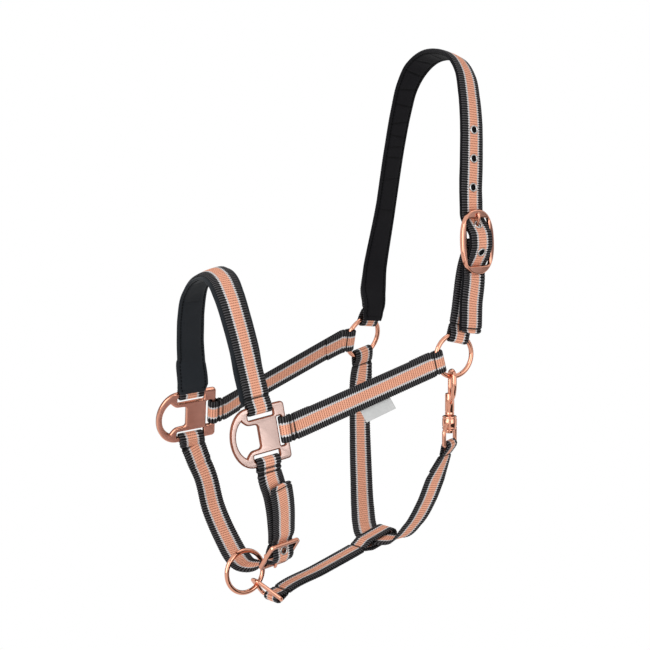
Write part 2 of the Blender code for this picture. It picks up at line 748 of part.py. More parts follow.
chin_line = [off_chin[-1]] + smooth(stops, chin_dir, Vector((0.2, -0.3, 0.9)), 7)
chin_hit = nearest(chin_line, chin_stop(*CHIN_RUN[2])[0])
chin_line, chin_places = flatten(chin_line, [chin_hit, chin_hit + CHIN_PITCH], EYELET_FLAT)
chin_start = lap(chin_line, LAP - BAR_STITCH, off_out)
chin = strip("chin_strap", chin_start + off_chin + chin_line[1:], WEB_T, WEBBING)
for k in range(2):
    eyelet("chin_eyelet_%d" % (k + 1), chin_places[k], -1, chin)
tongue("chin_buckle_tongue", CHIN_BUCKLE, ch_across, ch_up, ch_out, -1, chin_places[0],
       ((14.0, 3.7), (17.5, 3.7)))

near_chin = level_end(NEAR_PLATE, near_frame, -1)
ch_bar = CHIN_BUCKLE - ch_out * BUCKLE_BAR_DROP
tilt = math.radians(25)
ch_away = ch_up * math.cos(tilt) - ch_out * math.sin(tilt)
ch_face = ch_out * math.cos(tilt) + ch_up * math.sin(tilt)
chin_end = sewn_end(ch_bar, ch_across, ch_away, ch_face, BUCKLE_BAR_R, 0, BAR_STITCH, WEB_W / 2)
stops = [near_chin[-1], (Vector((59.5, -239.8, -404)), Vector((0, 0.96, 0.27)), WEB_W / 2),
         (Vector((53, -231.2, -430)), Vector((0, 0.97, 0.24)), WEB_W / 2), chin_end[-1]]
stub_line = [near_chin[-1]] + smooth(stops, -near_up, -ch_away, 9)
stub_lap = (lengths(stub_line)[-1] - GAP) / 2
stub = sewn_strap("chin_chape", near_chin, stub_line, chin_end, near_out, ch_face, (stub_lap, stub_lap))
tongue_slot(stub, ch_bar, ch_across)

jaw_dir = (JAW_REAR - JAW_BAR).normalized()
jaw_face = Vector((0, -jaw_dir.z, jaw_dir.y))
front_dir = (jaw_dir + jaw_face * 0.2).normalized()
front_face = (jaw_face - jaw_dir * 0.2).normalized()
jaw_front = sewn_end(JAW_BAR, X, front_dir, front_face, LINK_R, 0, BAR_STITCH, FOLD_HALF)
jaw_back = sewn_end(JAW_REAR, X, -jaw_dir, jaw_face, JAW_LOOP_R, JAW_LOOP, JAW_LOOP + BAR_STITCH, WEB_W / 2)
jaw_mid = (JAW_BAR.lerp(JAW_REAR, 0.4) + jaw_face * JAW_RISE, X, WEB_W / 2)
jaw_line = [jaw_front[-1]] + smooth([jaw_front[-1], jaw_mid, jaw_back[-1]], front_dir, jaw_dir, 14)
sewn_strap("jaw_strap", jaw_front, jaw_line, jaw_back, front_face, jaw_face, (46, 46))

link_dir = (JAW_BAR - CHIN_RING).normalized()
link_near = RING_R - RING_WIRE - LINK_R - 0.9
link_long = (JAW_BAR - CHIN_RING).length - link_near
loop = rounded([(-4.2, -link_long), (4.2, -link_long), (17.6, 0), (-17.6, 0)], 3.2, 4)
link_points = [X * p[0] + Y * p[1] for p in loop]
link_mesh = meshed(wire_curve(link_points, LINK_R, True))
add("jaw_link", link_mesh, ROSE_GOLD, 1.0, 0.25, frame(JAW_BAR, X, link_dir, X.cross(link_dir)))

off_throat, off_throat_dir = ring_end(OFF_RING, offr_back, offr_up, offr_out, 267)
snap = NEAR_RING - ring_out * SNAP_AXIS_IN
wire_z = NEAR_RING.z - RING_R
eye_axis = Vector((-0.5, 0.866, 0)).normalized()
eye_bar = Vector((snap.x, snap.y, wire_z - EYE_DROP))
eye_away = Vector((-0.36, -0.13, -0.92)).normalized()
eye_away = (eye_away - eye_axis * eye_away.dot(eye_axis)).normalized()
eye_face = eye_axis.cross(eye_away)
if eye_face.x < 0:
    eye_face = -eye_face
throat_end = sewn_end(eye_bar, eye_axis, eye_away, eye_face, 2.0, 0, BAR_STITCH, FOLD_HALF)
if off_throat[0][1].y < 0:
    off_throat = [(p, -w, h) for p, w, h in off_throat]
stops = [off_throat[-1]]
for x, y, z in ((-78, -43, -353), (-71.5, -47, -396), (-60, -54, -426), (-42, -65, -457), (-26, -74, -472)):
    stops.append((Vector((x, y, z)), Y.lerp(jaw_dir, 0.5).normalized(), WEB_W / 2))
throat_mid = JAW_REAR - jaw_dir * 13.3
for x, high in ((-12.5, 0.9), (0, -1.1), (12.5, 0.9)):
    stops.append((throat_mid + X * x + jaw_face * high, jaw_dir, WEB_W / 2))
for x, y, z in ((26, -71, -475.5), (39, -61.5, -460), (50, -53.5, -436), (58, -49, -413)):
    stops.append((Vector((x, y, z)), Y.lerp(jaw_dir, 0.4).normalized(), WEB_W / 2))
stops.append(throat_end[-1])
throat_line = [off_throat[-1]] + smooth(stops, off_throat_dir, -eye_away, 10)
sewn_strap("throat_strap", off_throat, throat_line, throat_end, offr_out, eye_face)


hook_at = Matrix.Translation(Vector((snap.x, snap.y, wire_z)) * MM)
hook_at @= Matrix.Rotation(math.radians(SNAP_TURN), 4, "Z")


def local(x, z):
    return Vector((x, 0, z))


arm = [local(1.5, -27), local(6, -22.5), local(10.6, -17), local(12.8, -10)]
for k in range(9):
    angle = math.pi * k / 8
    arm.append(local(6.5 + 6.5 * math.cos(angle), -1.2 + 6.5 * math.sin(angle)))
hook = add("snap_hook", cylinder(4.5, local(0, -39.5), local(0, -17.5), 20), ROSE_GOLD, 1.0, 0.25, hook_at)
combine(hook, cutter("snap_arm", meshed(wire_curve(arm, 2.5)), hook_at), "UNION")
combine(hook, cutter("snap_neck", cylinder(2.6, local(0, -55), local(0, -38), 16), hook_at), "UNION")
combine(hook, cutter("snap_head", cylinder(3.6, local(0, -57), local(0, -53.6), 16, 4.4), hook_at), "UNION")
combine(hook, cutter("snap_bore", cylinder(2.5, local(0, -37), local(0, -17), 16), hook_at), "DIFFERENCE")
slot_at = Matrix.Translation(Vector((-3.5, 0, -25)) * MM)
combine(hook, cutter("snap_slot", box((6, 3.4, 12), slot_at), hook_at), "DIFFERENCE")
bolt = add("snap_bolt", cylinder(1.9, local(0, -26.5), local(0, -2.0), 16), ROSE_GOLD, 1.0, 0.25, hook_at)
pin_mesh = cylinder(1.2, local(-7, -21.5), local(0, -21.5), 12)
combine(bolt, cutter("snap_pin", pin_mesh, hook_at), "UNION")
knob_mesh = cylinder(2.2, local(-8.6, -21.5), local(-6, -21.5), 14, 1.6)
combine(bolt, cutter("snap_knob", knob_mesh, hook_at), "UNION")
coil = []
coil_points = SPRING_TURNS * SPRING_SIDES
for k in range(coil_points + 1):
    angle = 2 * math.pi * k / SPRING_SIDES
    depth = SPRING_TOP + SPRING_L * k / coil_points
    coil.append(Vector((SPRING_R * math.cos(angle), SPRING_R * math.sin(angle), -depth)))
add("snap_spring", meshed(wire_curve(coil, 0.35)), STEEL, 1.0, 0.4, hook_at)

eye_frame = frame(Vector((snap.x, snap.y, wire_z)), eye_axis, Z.cross(eye_axis), Z)
bail = rounded([(-4.5, -44), (-9.5, -53), (-13.9, -60), (-13.9, -EYE_DROP), (13.9, -EYE_DROP), (13.9, -60),
                (9.5, -53), (4.5, -44)], 2.6, 3)
bail_points = [Vector((p[0], 0, p[1])) for p in bail[4:-4]]
bail_points = [Vector((-4.5, 0, -46))] + bail_points + [Vector((4.5, 0, -46))]
eye = add("snap_eye", cylinder(7.2, local(0, -53), local(0, -40), 24), ROSE_GOLD, 1.0, 0.25, eye_frame)
combine(eye, cutter("eye_bail", meshed(wire_curve(bail_points, 2.0)), eye_frame), "UNION")
combine(eye, cutter("eye_bore", cylinder(3.0, local(0, -60), local(0, -35), 20), eye_frame), "DIFFERENCE")
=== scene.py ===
"""Looks of a striped webbing headcollar with padded crown and noseband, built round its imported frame."""
import math
from functools import cache

import bmesh
import bpy
import numpy as np
from bpy.props import FloatProperty, FloatVectorProperty, PointerProperty
from mathutils import Matrix, Vector


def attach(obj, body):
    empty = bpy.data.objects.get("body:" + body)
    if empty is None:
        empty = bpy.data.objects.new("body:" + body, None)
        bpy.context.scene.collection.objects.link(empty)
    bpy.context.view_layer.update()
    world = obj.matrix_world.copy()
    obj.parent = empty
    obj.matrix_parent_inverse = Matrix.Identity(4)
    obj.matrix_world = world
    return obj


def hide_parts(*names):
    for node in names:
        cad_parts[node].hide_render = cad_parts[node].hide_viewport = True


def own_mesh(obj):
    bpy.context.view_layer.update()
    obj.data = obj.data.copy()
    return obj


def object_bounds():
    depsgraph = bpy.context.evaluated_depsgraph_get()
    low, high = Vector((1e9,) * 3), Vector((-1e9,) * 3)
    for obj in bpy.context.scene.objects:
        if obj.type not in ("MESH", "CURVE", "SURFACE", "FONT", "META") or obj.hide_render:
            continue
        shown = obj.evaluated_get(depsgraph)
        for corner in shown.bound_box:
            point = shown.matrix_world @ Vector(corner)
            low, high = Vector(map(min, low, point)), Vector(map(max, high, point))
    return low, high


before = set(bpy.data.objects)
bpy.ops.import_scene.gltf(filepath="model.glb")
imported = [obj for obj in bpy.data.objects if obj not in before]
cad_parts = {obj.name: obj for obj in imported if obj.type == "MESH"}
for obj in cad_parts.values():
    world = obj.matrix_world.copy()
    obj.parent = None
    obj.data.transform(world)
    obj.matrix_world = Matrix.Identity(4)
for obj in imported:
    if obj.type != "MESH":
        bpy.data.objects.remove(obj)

bl_info = {
    "name": "Webbing Headcollar",
    "version": (1, 0, 0),
    "blender": (4, 5, 0),
    "location": "View3D > Sidebar > Headcollar",
    "description": "Striped webbing, pads, stitching and rose gold fittings of a headcollar",
    "category": "Add Mesh",
}

CAD_LOW, CAD_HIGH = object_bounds()
MM = 0.001
X = Vector((1, 0, 0))
Y = Vector((0, 1, 0))
Z = Vector((0, 0, 1))

# Sewn ends, in millimetres: clearance, rings, bars, stitched rows, laps, and how finely a strap is cut
GAP = 0.35
RING_R = 20.7
RING_WIRE = 2.3
RING_SEGMENTS = 144
RING_SIDES = 28
RING_FOLD = 17.05
RING_SLACK = 3.7
RING_STITCH = 13.0
FOLD_HALF = 11.0
CHIN_RING_HALF = 11.6
LAP = 32.0
BAR_R = 2.75
BAR_STITCH = 11.0
SIDE_STEPS = 8
TURN_STEPS = 24
FINE = 2.0
BLUR = 0.8
LEAST_STEPS = 8
MARKS_A_MM = 4
JUST_IN = 0.5
LAYER_CLEAR = 0.6
SAME_PLACE = 0.0001

# Places and directions of the fittings, in millimetres and degrees
NEAR_PLATE = Vector((64, -251, -345))
NEAR_RING = Vector((76, -41, -288))
OFF_PLATE = Vector((-64, -251, -345))
OFF_RING = Vector((-76, -41, -288))
NEAR_LEAN = 4.0
NEAR_DIP = 6.8
OFF_LEAN = 20.0
OFF_DIP = 2.4
OFF_TOE = 17.5
OFF_RING_LEAN = 16.0
OFF_CHEEK_TURN = -12.0
CROWN_BUCKLE = Vector((82, -17.5, -177.5))
CROWN_BUCKLE_LEAN = 4.0
CHIN_BUCKLE = Vector((38, -221.5, -469))
CHIN_RING = Vector((0, -236, -492))
JAW_BAR = Vector((0, -203, -522))
JAW_REAR = Vector((0, -66.5, -474))
SNAP_AXIS_IN = 6.5
SNAP_TURN = -19.0

# Places that the straps pass in millimetres, some with the direction of the strap's width there
NOSE_SIDE = ((56.5, -264, -288), (50.5, -267, -263), (44, -270, -240), (33, -272, -216), (17, -271, -200.5))
NOSE_TOP = (0, -270, -196)
NOSE_ACROSS = (0, 0.966, 0.26)
CROWN_AT_RING = 66.0
CROWN_STOPS = (
    ((-78, -29, -241), (0.15, 1, -0.15)), ((-71.5, -17, -150), (-0.15, 1, 0)),
    ((-65.5, -11, -92), (-0.15, 1, -0.1)), ((-60, -7, -56), (-0.12, 1, -0.2)),
    ((-54, -4, -32), (-0.1, 1, -0.35)), ((-44, 0, -13.5), (0, 0.93, -0.37)),
    ((-26, 2, -0.8), (0, 0.94, -0.34)), ((0, 2.5, 3.7), (0, 0.94, -0.34)),
    ((25, 2, -1.3), (0, 0.94, -0.34)), ((41.5, 0, -15.5), (0, 0.93, -0.37)),
    ((51.5, -3, -36), (0, 1, -0.35)), ((59.5, -6.5, -60), (0, 1, -0.2)), ((66, -11, -96), (0, 1, -0.05)))
CROWN_TAIL = (((82.5, -23.5, -236), (0, 1, -0.1)), ((86.5, -28, -266), (0, 1, -0.15)))
CROWN_TAIL_WAY = Vector((0, -0.15, -1))
CROWN_CHAPE_AT_RING = 61.0
CROWN_CHAPE_TILT = 33.0
CHIN_STOPS = ((-66.5, -240, -405), (-55, -236, -440), (-36, -233, -467), (-16, -234, -481))
CHIN_ACROSS_BELOW = (0, 0.94, 0.34)
CHIN_IN_RING = (0, -234.8, -485.4)
CHIN_TAIL = (((54, -226.5, -437), (0, 0.97, 0.24)), ((64, -234, -414), (0, 0.96, 0.28)),
             ((69.5, -241, -394), (0, 0.96, 0.28)))
CHIN_TAIL_WAY = Vector((0.2, -0.3, 0.9))
CHIN_CHAPE_TILT = 25.0
CHIN_CHAPE_STOPS = (((59.5, -239.8, -404), (0, 0.96, 0.27)), ((53, -231.2, -430), (0, 0.97, 0.24)))
JAW_FRONT_TILT = 0.2
JAW_RISE = 2.0
JAW_RISE_AT = 0.4
JAW_LOOP = 26.0
JAW_LOOP_R = 3.0
THROAT_AT_RING = 267.0
THROAT_OFF = ((-78, -43, -353), (-71.5, -47, -396), (-60, -54, -426), (-42, -65, -457), (-26, -74, -472))
THROAT_OFF_TURN = 0.5
THROAT_LOOP = ((-12.5, 0.9), (0, -1.1), (12.5, 0.9))
THROAT_LOOP_IN = 13.3
THROAT_NEAR = ((26, -71, -475.5), (39, -61.5, -460), (50, -53.5, -436), (58, -49, -413))
THROAT_NEAR_TURN = 0.4
THROAT_EYE_WAY = Vector((-0.36, -0.13, -0.92))

# Webbing: sides and edges of its section, rows, pinches and swellings, bow over a pad, in millimetres
WEB_SPREAD = np.array([0.975, 0.90, 0.72, 0.50, 0.26, 0.0])
WEB_EDGE_FROM = 0.95
WEB_EDGE_THIN = 0.70
WEB_LEAST = 0.18
RIB_STEPS = 6
RIB_ROUND = 0.7
RIB_PROUD = 0.1
ROW_IN = 0.5
ROW_PINCH = 0.75
ROW_WIDE = 1.0
ROW_DRAW = 0.9
ROW_SINK = 0.25
ROW_SINK_WIDE = 1.1
ROW_PAIR = 8.0
ROW_SWELL = 0.45
ROW_SWELL_WIDE = 1.6
ROW_HIGH = 0.42
ROW_INSET = 1.6
TAIL_ROW = 4.5
CHEEK_ROWS = (-6.6, -1.0)
CHEEK_RING_ROW = 6.0
CHAPE_ROWS = (-6.0, -1.0)
SWAY_REACH = 14.0
CHIN_SWAY = 3.2
BOW_IN = (6.0, 40.0)
CROWN_BOW = 1.0
CROWN_BOW_OUT = (-40.0, -25.0)
NOSE_BOW = 1.2
END_PRESS = 18.0
CUT_REACH = 9.0

# How an end of a web is finished: the radius of its corners, and how much of its thickness is pressed away
LAID_END = (1.2, 0.65)
FREE_END = (4.5, 0.0)
MET_END = (0.0, 0.0)

# Stitches: the shape of a bead, and what is added to or left between them, in millimetres
BEAD_RINGS = 7
BEAD_SIDES = 8
BEAD_SAG = 0.22
BEAD_TIP = 0.25
BEAD_FLAT = 0.85
STITCH_LAP = 0.1
SEAM_LONGER = 0.9
SEAM_GAP = 0.7

# Linings, in millimetres: creases are (length along, depth, slant) and swells (height, wave, start)
PAD_GAP = 0.8
PAD_OVER = 9.0
PAD_OVER_STEPS = 6
PAD_LAP_ROOM = 2.0
PAD_BRIDGE = 26.0
PAD_TOUCH = 0.12
PAD_COLUMNS = 27
PAD_STEP = 0.8
PAD_RIM = 14
PAD_CURVE = 0.30
PAD_CREASE = 0.95
PAD_SEAM = 3.6
PAD_SEAM_HIGH = 0.12
PAD_CHANNEL = 0.7
PAD_CHANNEL_WIDE = 0.055
PAD_SWELLS = ((0.16, 7.3, 0.0), (0.12, 3.1, 1.2))
PAD_END = 6.0
CROWN_PAD_SHORT = 1.5
CROWN_PAD_BOW = 0.8
CROWN_END_IN = 2.0
CROWN_NARROWS = (-50.0, -20.0)
CROWN_SHEEN = 0.05
CROWN_GLOSS = 0.10
CROWN_CREASES = ((118, 0.6, -1.0), (150, 0.6, 1.0), (172, 0.9, -0.5), (183, 0.7, 1.0), (194, 0.9, -1.5),
                 (208, 0.9, 2.0), (226, 1.0, -1.5), (243, 0.9, 1.0), (262, 1.0, -2.0), (281, 0.9, 2.5),
                 (303, 0.8, -1.0), (326, 0.8, 1.5))
NOSE_PAD_SHORT = 3.0
NOSE_PAD_BOW = 1.56
NOSE_END_IN = 3.0
NOSE_SHEEN = 0.12
NOSE_GLOSS = 0.22
NOSE_CREASES = ((95, 0.35, -1.5), (120, 0.35, 1.5), (150, 0.4, -1.0), (178, 0.35, 1.5))

# Side plates, in millimetres: boxes are (left, low, right, high), turns are (start, degrees, steps)
PLATE_T = 4.0
PLATE_TOP_BAR = 25.25
PLATE_REAR_BAR = 18.05
PLATE_STRAP_FORE = 5.6
PLATE_EDGE = 0.6
PLATE_ROUND = 1.5
PLATE_RAISE = 0.3
PLATE_RIM = 1.15
PLATE_NOSE_AT = (-19.4, 0.0)
PLATE_NOSE = (21.4, 28.5)
PLATE_BOW = (15.7, 19.9)
PLATE_TAIL = (-19, -27.5, 20.3, 27.5)
PLATE_TAIL_FROM = 5.0
PLATE_TAIL_R = 3.5
PLATE_HORN = ((-10.4, 9.2), (-12, 11.2), (-16.3, 11.7), (-20.4, 12.2), (-23.5, 14.3), (-26.5, 17.6))
PLATE_HORN_STEPS = 5
PLATE_SLOTS = ((-19.4, 16.7, 8.2, 23), (-19.4, -23, 8.2, -16.7), (10.5, -14.2, 15.8, 14.2))
PLATE_SLOT_R = 1.2
PLATE_SIDEWAYS = 0.1
PLATE_FLAT = 0.95
PLATE_RIM_EDGE = 0.18
PLATE_SATIN_DEEP = 0.21
PLATE_NOSE_TURN = (90, 180, 60)
PLATE_BOW_TURN = (117, 126, 42)

# How finely metal is made: sides, steps, angles left sharp in degrees, and welding distance in metres
SIDES = {"barrel": 48, "head": 40, "rod": 36, "pin": 28, "knob": 32, "collar": 56, "bar": 36, "eyelet": 48,
         "hole": 32, "slot": 40, "pocket": 40, "groove": 28}
CORNER_STEPS = 8
SLOT_STEPS = 5
LINK_STEPS = 10
SHANK_STEPS = 6
BEND_STEPS = 24
WIRE_ROUND = 6
EDGE_ROUND = 4
CAST_SHARP = 50.0
TURNED_SHARP = 35.0
SNAP_SHARP = 40.0
WELD = 0.0000005

# Link, buckles, tongues and eyelets, in millimetres
LINK_R = 2.0
LINK_PLAY = 0.9
LINK_FRONT_HALF = 4.2
LINK_BAR_HALF = 17.6
LINK_CORNER = 3.2
BUCKLE_T = 4.0
BUCKLE_BAR_R = 1.75
BUCKLE_BAR_DROP = 2.5
BUCKLE_BAR_IN = 2.0
BUCKLE_FLAT = 0.97
CROWN_OVAL = (19.8, 31.5)
CROWN_OVAL_POINTS = 120
CROWN_OVAL_FULL = 0.83
CROWN_WINDOW = (-13.5, -23.3, 13.5, 23.3)
CROWN_WINDOW_R = 3.5
CROWN_DEEPER = 1.4
CROWN_EDGE = 1.7
CHIN_OUTSIDE = (-18, -18.5, 18, 18.5)
CHIN_OUTSIDE_R = 5.0
CHIN_WINDOW = (-13.9, -14.5, 13.9, 14.5)
CHIN_WINDOW_R = 2.0
CHIN_EDGE = 1.3
TONGUE_R = 1.2
TONGUE_EYE = 245.0
TONGUE_EYE_STEPS = 21
TONGUE_THROUGH = 2.4
TONGUE_TIP = (0.9, 0.55)
TONGUE_FLARE = 0.4
TONGUE_FLARE_SPAN = (-9, -3)
TONGUE_SLOT = 2.2
TONGUE_SLOT_R = 6.5
TONGUE_GROOVE = 1.2
TONGUE_GROOVE_FROM = (1.0, 0.8)
CROWN_TIP = ((23.5, 3.7), (28.5, 3.7))
CHIN_TIP = ((14.0, 3.7), (17.5, 3.7))
EYELET_HOLE = 2.95
EYELET_TUBE = 3.5
EYELET_RIM = 4.5
EYELET_DOME = 0.85
EYELET_DOME_STEPS = 12
EYELET_FLAT = 5.2
EYELET_CLEAR = 1.0
EYELET_ROOM = 0.15
EYELET_POCKET = 0.7
EYELET_POCKET_HIGH = 6.0
WASHER_T = 0.35
WASHER_EDGE = 0.2
WASHER_LIP = 0.15
CROWN_HOLES = 5
CROWN_HELD = 3
CROWN_PITCH = 28.3
CROWN_DIVE = 11.0
CHIN_PITCH = 20.0

# Bolt snap, in millimetres under its ring: sections are (radius, height), runs are (across, height)
SNAP_BARREL = ((0, -39.5), (3.6, -39.5), (4.3, -39.1), (4.5, -38.3), (4.5, -36.9), (4.2, -36.5),
               (4.2, -35.9), (4.5, -35.5), (4.5, -18.6), (4.3, -17.9), (3.7, -17.5), (0, -17.5))
SNAP_HEAD = ((0, -57), (3.4, -57), (3.6, -56.7), (4.3, -54.1), (4.1, -53.6), (2.6, -53.6), (2.6, -38),
             (0, -38))
SNAP_BORE = (2.5, -37, -17, 36)
SNAP_SLOT = (6.0, 3.4, 12.0)
SNAP_SLOT_AT = Vector((-3.5, 0, -25))
SNAP_ARM = ((1.5, -27), (6, -22.5), (10.6, -17), (12.8, -10), (13, -1.2))
SNAP_ARM_STEPS = 6
SNAP_ARM_R = 2.5
SNAP_ARM_TIP = (0.98, 0.9, 0.7)
SNAP_BEND = (6.5, -1.2)
SNAP_BEND_R = (6.5, 6.5)
BOLT_ROD = ((0, -26.5), (1.7, -26.5), (1.9, -26.2), (1.9, -3.4), (1.6, -2.5), (0.9, -2.0), (0, -2.0))
BOLT_PIN = ((-7, -21.5), (0, -21.5))
BOLT_PIN_R = 1.2
BOLT_KNOB = ((0, 0), (1.9, 0), (2.2, 0.3), (2.2, 1.5), (2.0, 2.2), (1.3, 2.6), (0, 2.6))
BOLT_KNOB_AT = Vector((-6, 0, -21.5))
SPRING_R = 1.65
SPRING_TURNS = 4
SPRING_SIDES = 24
SPRING_TOP = 27.3
SPRING_LONG = 9.0
SPRING_WIRE = 0.35
EYE_DROP = 68.3
EYE_WIRE = 2.0
EYE_COLLAR = ((3.0, -53), (6.6, -53), (7.1, -52.6), (7.2, -51.9), (6.7, -51.2), (6.7, -50.4), (7.2, -49.8),
              (7.2, -43.2), (6.7, -42.6), (6.7, -41.9), (7.1, -41.3), (7.0, -40.5), (6.5, -40), (3.0, -40))
EYE_BORE = (3.0, -60, -35, 40)
EYE_BAIL = ((13.9, -EYE_DROP), (13.9, -54), (8.7, -49.5), (4.5, -44))
EYE_BAIL_R = 2.6
EYE_BAIL_END = (4.5, -46)

# Tag, in millimetres and degrees; its curl is (waves, start, height)
TAG_LONG = 35.0
TAG_WIDE = 20.0
TAG_THICK = 0.7
TAG_STEP = 0.7
TAG_COLUMNS = 19
TAG_RIM = 0.4
TAG_CURL = (1.6, 0.4, 0.13)
TAG_ALONG = 0.55
TAG_DROP = 17.0
TAG_OUT = 0.6
TAG_TURN = 3.0
TAG_TILT = 28.0

# Paints: borders of the stripes as shares of the half width, grain in marks a metre, depths in metres
STRIPE_ROSE = 0.375
STRIPE_GREY = 0.52
STRIPE_SOFT = 0.02
STRIPE_TEETH = 0.04
WEB_FUZZ = 1900.0
WEB_CLOUD = 55.0
WEB_DEPTH = 0.00016
NAP = 1000.0
NAP_CLOUD = 40.0
NAP_DEPTH = 0.00012
METAL_CLOUD = 90.0
THREAD_FIBRE = 4200.0
THREAD_DEPTH = 0.00006
TAG_WEAVE = 0.0006
TAG_CLOUD = 160.0
TAG_FUZZ = 900.0
TAG_DEPTH = 0.00005

# Metals: material, least and most roughness, grain, grain's depth in metres, and clouding of the colour
METALS = {
    "polished": ("polished_rose_gold", 0.06, 0.11, 420.0, 0.000004, 0.03),
    "satin": ("satin_rose_gold", 0.34, 0.46, 1300.0, 0.00003, 0.12),
    # Darker inner faces of the side plates: painted shade
    "inner": ("inner_rose_gold", 0.30, 0.42, 1300.0, 0.00003, 0.2),
    # Darker flat faces of the buckles: painted dark reflection
    "face": ("brushed_rose_gold", 0.24, 0.34, 1300.0, 0.00002, 0.12),
    # Dark edge colour: painted dark reflection along the side plates' outer edges
    "edge": ("cast_edge", 0.26, 0.38, 700.0, 0.00003, 0.03),
    "nickel": ("bright_nickel", 0.14, 0.26, 500.0, 0.00002, 0.03),
    "steel": ("spring_steel", 0.25, 0.4, 900.0, 0.00002, 0.03),
}

# Threads: material, its colour's setting, and gloss
SEWING_THREAD = ("sewing_thread", "thread", 0.3)
SEAM_THREAD = ("seam_thread", "seam", 0.05)

# Stage: the photograph's view in degrees and millimetres, lamps as (name, place, size, watts) in metres
VIEW_TARGET = Vector((21, -156, -255))
VIEW_AZIMUTH = 55.0
VIEW_ELEVATION = 8.0
VIEW_DISTANCE = 2400.0
VIEW_WIDTH = 628.0
SENSOR = 36.0
CLIP_END = 100.0
FLOOR_SIZE = 12.0
FLOOR_DROP = 0.35
FLOOR_GREY = (0.86, 0.86, 0.86)
FLOOR_WHITE = 0.7
FLOOR_FADE = 0.65
CARD_GREY = (0.05, 0.045, 0.042)
AMBIENT = 0.55
LAMPS = (("key", (0.7, -2.6, 0.25), 2.1, 40.0), ("fill", (2.75, -0.15, 0.08), 1.8, 19.0),
         ("top", (-0.6, 0.6, 2.2), 1.6, 12.0))
CARDS = (("left_card", (-0.95, -2.0, -0.4), (0.7, 2.4)), ("right_card", (1.5, 1.8, -0.3), (0.7, 2.4)),
         ("front_card", (1.85, -0.75, -0.4), (0.3, 1.6)), ("back_card", (-1.2, 0.8, -0.3), (2.2, 2.2)),
         ("low_card", (0.5, 0.1, -0.82), (0.9, 0.9)))


def colour(name, words, value):
    return FloatVectorProperty(name=name, description=words, default=value, subtype="COLOR", min=0, max=1)


def length(name, words, value):
    return FloatProperty(name=name, description=words, default=value * MM, unit="LENGTH", precision=5)


class WebbingSettings(bpy.types.PropertyGroup):
    """Sizes and colours of the webbing."""
    width: length("Width", "Width of the webbing", 25.0)
    thickness: length("Thickness", "Thickness of one layer", 2.0)
    rib_pitch: length("Rib pitch", "Distance from one cross rib to the next", 2.4)
    rib_height: length("Rib height", "Height of a cross rib over the groove beside it", 0.45)
    edge_wave: length("Edge wave", "How far each rib stands out at the web's edges", 0.42)
    yarn_pitch: length("Yarn pitch", "Distance across the web from one yarn to the next", 1.9)
    # The colours between the ribs are painted shade in the grooves; the black of the edges is lightened to
    # paint highlights on its rib tops
    rose: colour("Rose", "Colour of the middle stripe", (0.86, 0.42, 0.28))
    rose_shaded: colour("Deep rose", "Colour between the ribs of the middle stripe", (0.31, 0.105, 0.062))
    grey: colour("Grey", "Colour of the two thin stripes", (0.66, 0.64, 0.64))
    grey_shaded: colour("Deep grey", "Colour between the ribs of the thin stripes", (0.27, 0.25, 0.25))
    black: colour("Black", "Colour of the edges", (0.066, 0.063, 0.067))
    black_shaded: colour("Deep black", "Colour between the ribs of the edges", (0.0006, 0.0006, 0.0008))


class PadSettings(bpy.types.PropertyGroup):
    """Sizes and colour of the soft linings."""
    crown_width: length("Crown width", "Width of the crown's lining", 28.4)
    crown_tail_width: length("Tail width", "Width of the lining behind the crown's tail", 26.6)
    crown_thickness: length("Crown thickness", "Thickness of the crown's lining", 3.0)
    nose_width: length("Nose width", "Width of the noseband's pad", 32.0)
    nose_thickness: length("Nose thickness", "Thickness of the noseband's pad", 4.0)
    nose_black: colour("Nose pad", "Colour of the noseband's pad", (0.0105, 0.0135, 0.0175))
    # The crown's lining is painted darker than the nose pad, as painted shade
    crown_black_shaded: colour("Crown lining", "Colour of the crown's lining", (0.0078, 0.0074, 0.0090))


class MetalSettings(bpy.types.PropertyGroup):
    """Colours of the fittings."""
    polished: colour("Polished", "Rings, buckle edges and snap", (0.70, 0.33, 0.225))
    satin: colour("Satin", "Outer faces of the side plates", (0.68, 0.50, 0.45))
    # The side plates' inner faces are painted darker than the satin faces, as painted shade
    inner: colour("Inner", "Inner faces of the side plates", (0.60, 0.29, 0.225))
    # The side plates' outer edges are painted dark, as a painted reflection
    edge: colour("Edge", "Cast edges of the side plates", (0.20, 0.065, 0.038))
    # The buckles' flat faces are painted darker than the polished metal, as a painted dark reflection
    face: colour("Face", "Flat faces of the buckles", (0.44, 0.22, 0.165))
    nickel: colour("Nickel", "Eyelets", (0.52, 0.51, 0.50))
    steel: colour("Steel", "Spring of the snap", (0.45, 0.45, 0.46))


class TrimSettings(bpy.types.PropertyGroup):
    """Thread and tag."""
    thread: colour("Thread", "Colour of the sewing thread", (0.012, 0.011, 0.012))
    seam: colour("Seam", "Colour of the linings' seams", (0.0016, 0.0016, 0.0020))
    thread_radius: length("Thread radius", "Radius of the sewing thread", 0.42)
    stitch: length("Stitch", "Length of one stitch", 2.3)
    tag: colour("Tag", "Colour of the woven tag", (0.60, 0.605, 0.60))


class HeadcollarSettings(bpy.types.PropertyGroup):
    """Everything that a user would change."""
    webbing: PointerProperty(type=WebbingSettings)
    pads: PointerProperty(type=PadSettings)
    metals: PointerProperty(type=MetalSettings)
    trim: PointerProperty(type=TrimSettings)


def settings():
    return bpy.context.scene.headcollar


def in_mm(value):
    return value / MM


# Paths of the straps, as lists of (point, direction across, half width) in millimetres


def web_half():
    return in_mm(settings().webbing.width) / 2


def web_thick():
    return in_mm(settings().webbing.thickness)


def ease(s, a, b):
    part = min(1.0, max(0.0, (s - a) / (b - a)))
    return part * part * (3 - 2 * part)


def arc(centre, reach, start, turn, count):
    """Points of an ellipse, from a start and through a turn in degrees."""
    made = []
    for k in range(count + 1):
        angle = math.radians(start + turn * k / count)
        made.append((centre[0] + reach[0] * math.cos(angle), centre[1] + reach[1] * math.sin(angle)))
    return made


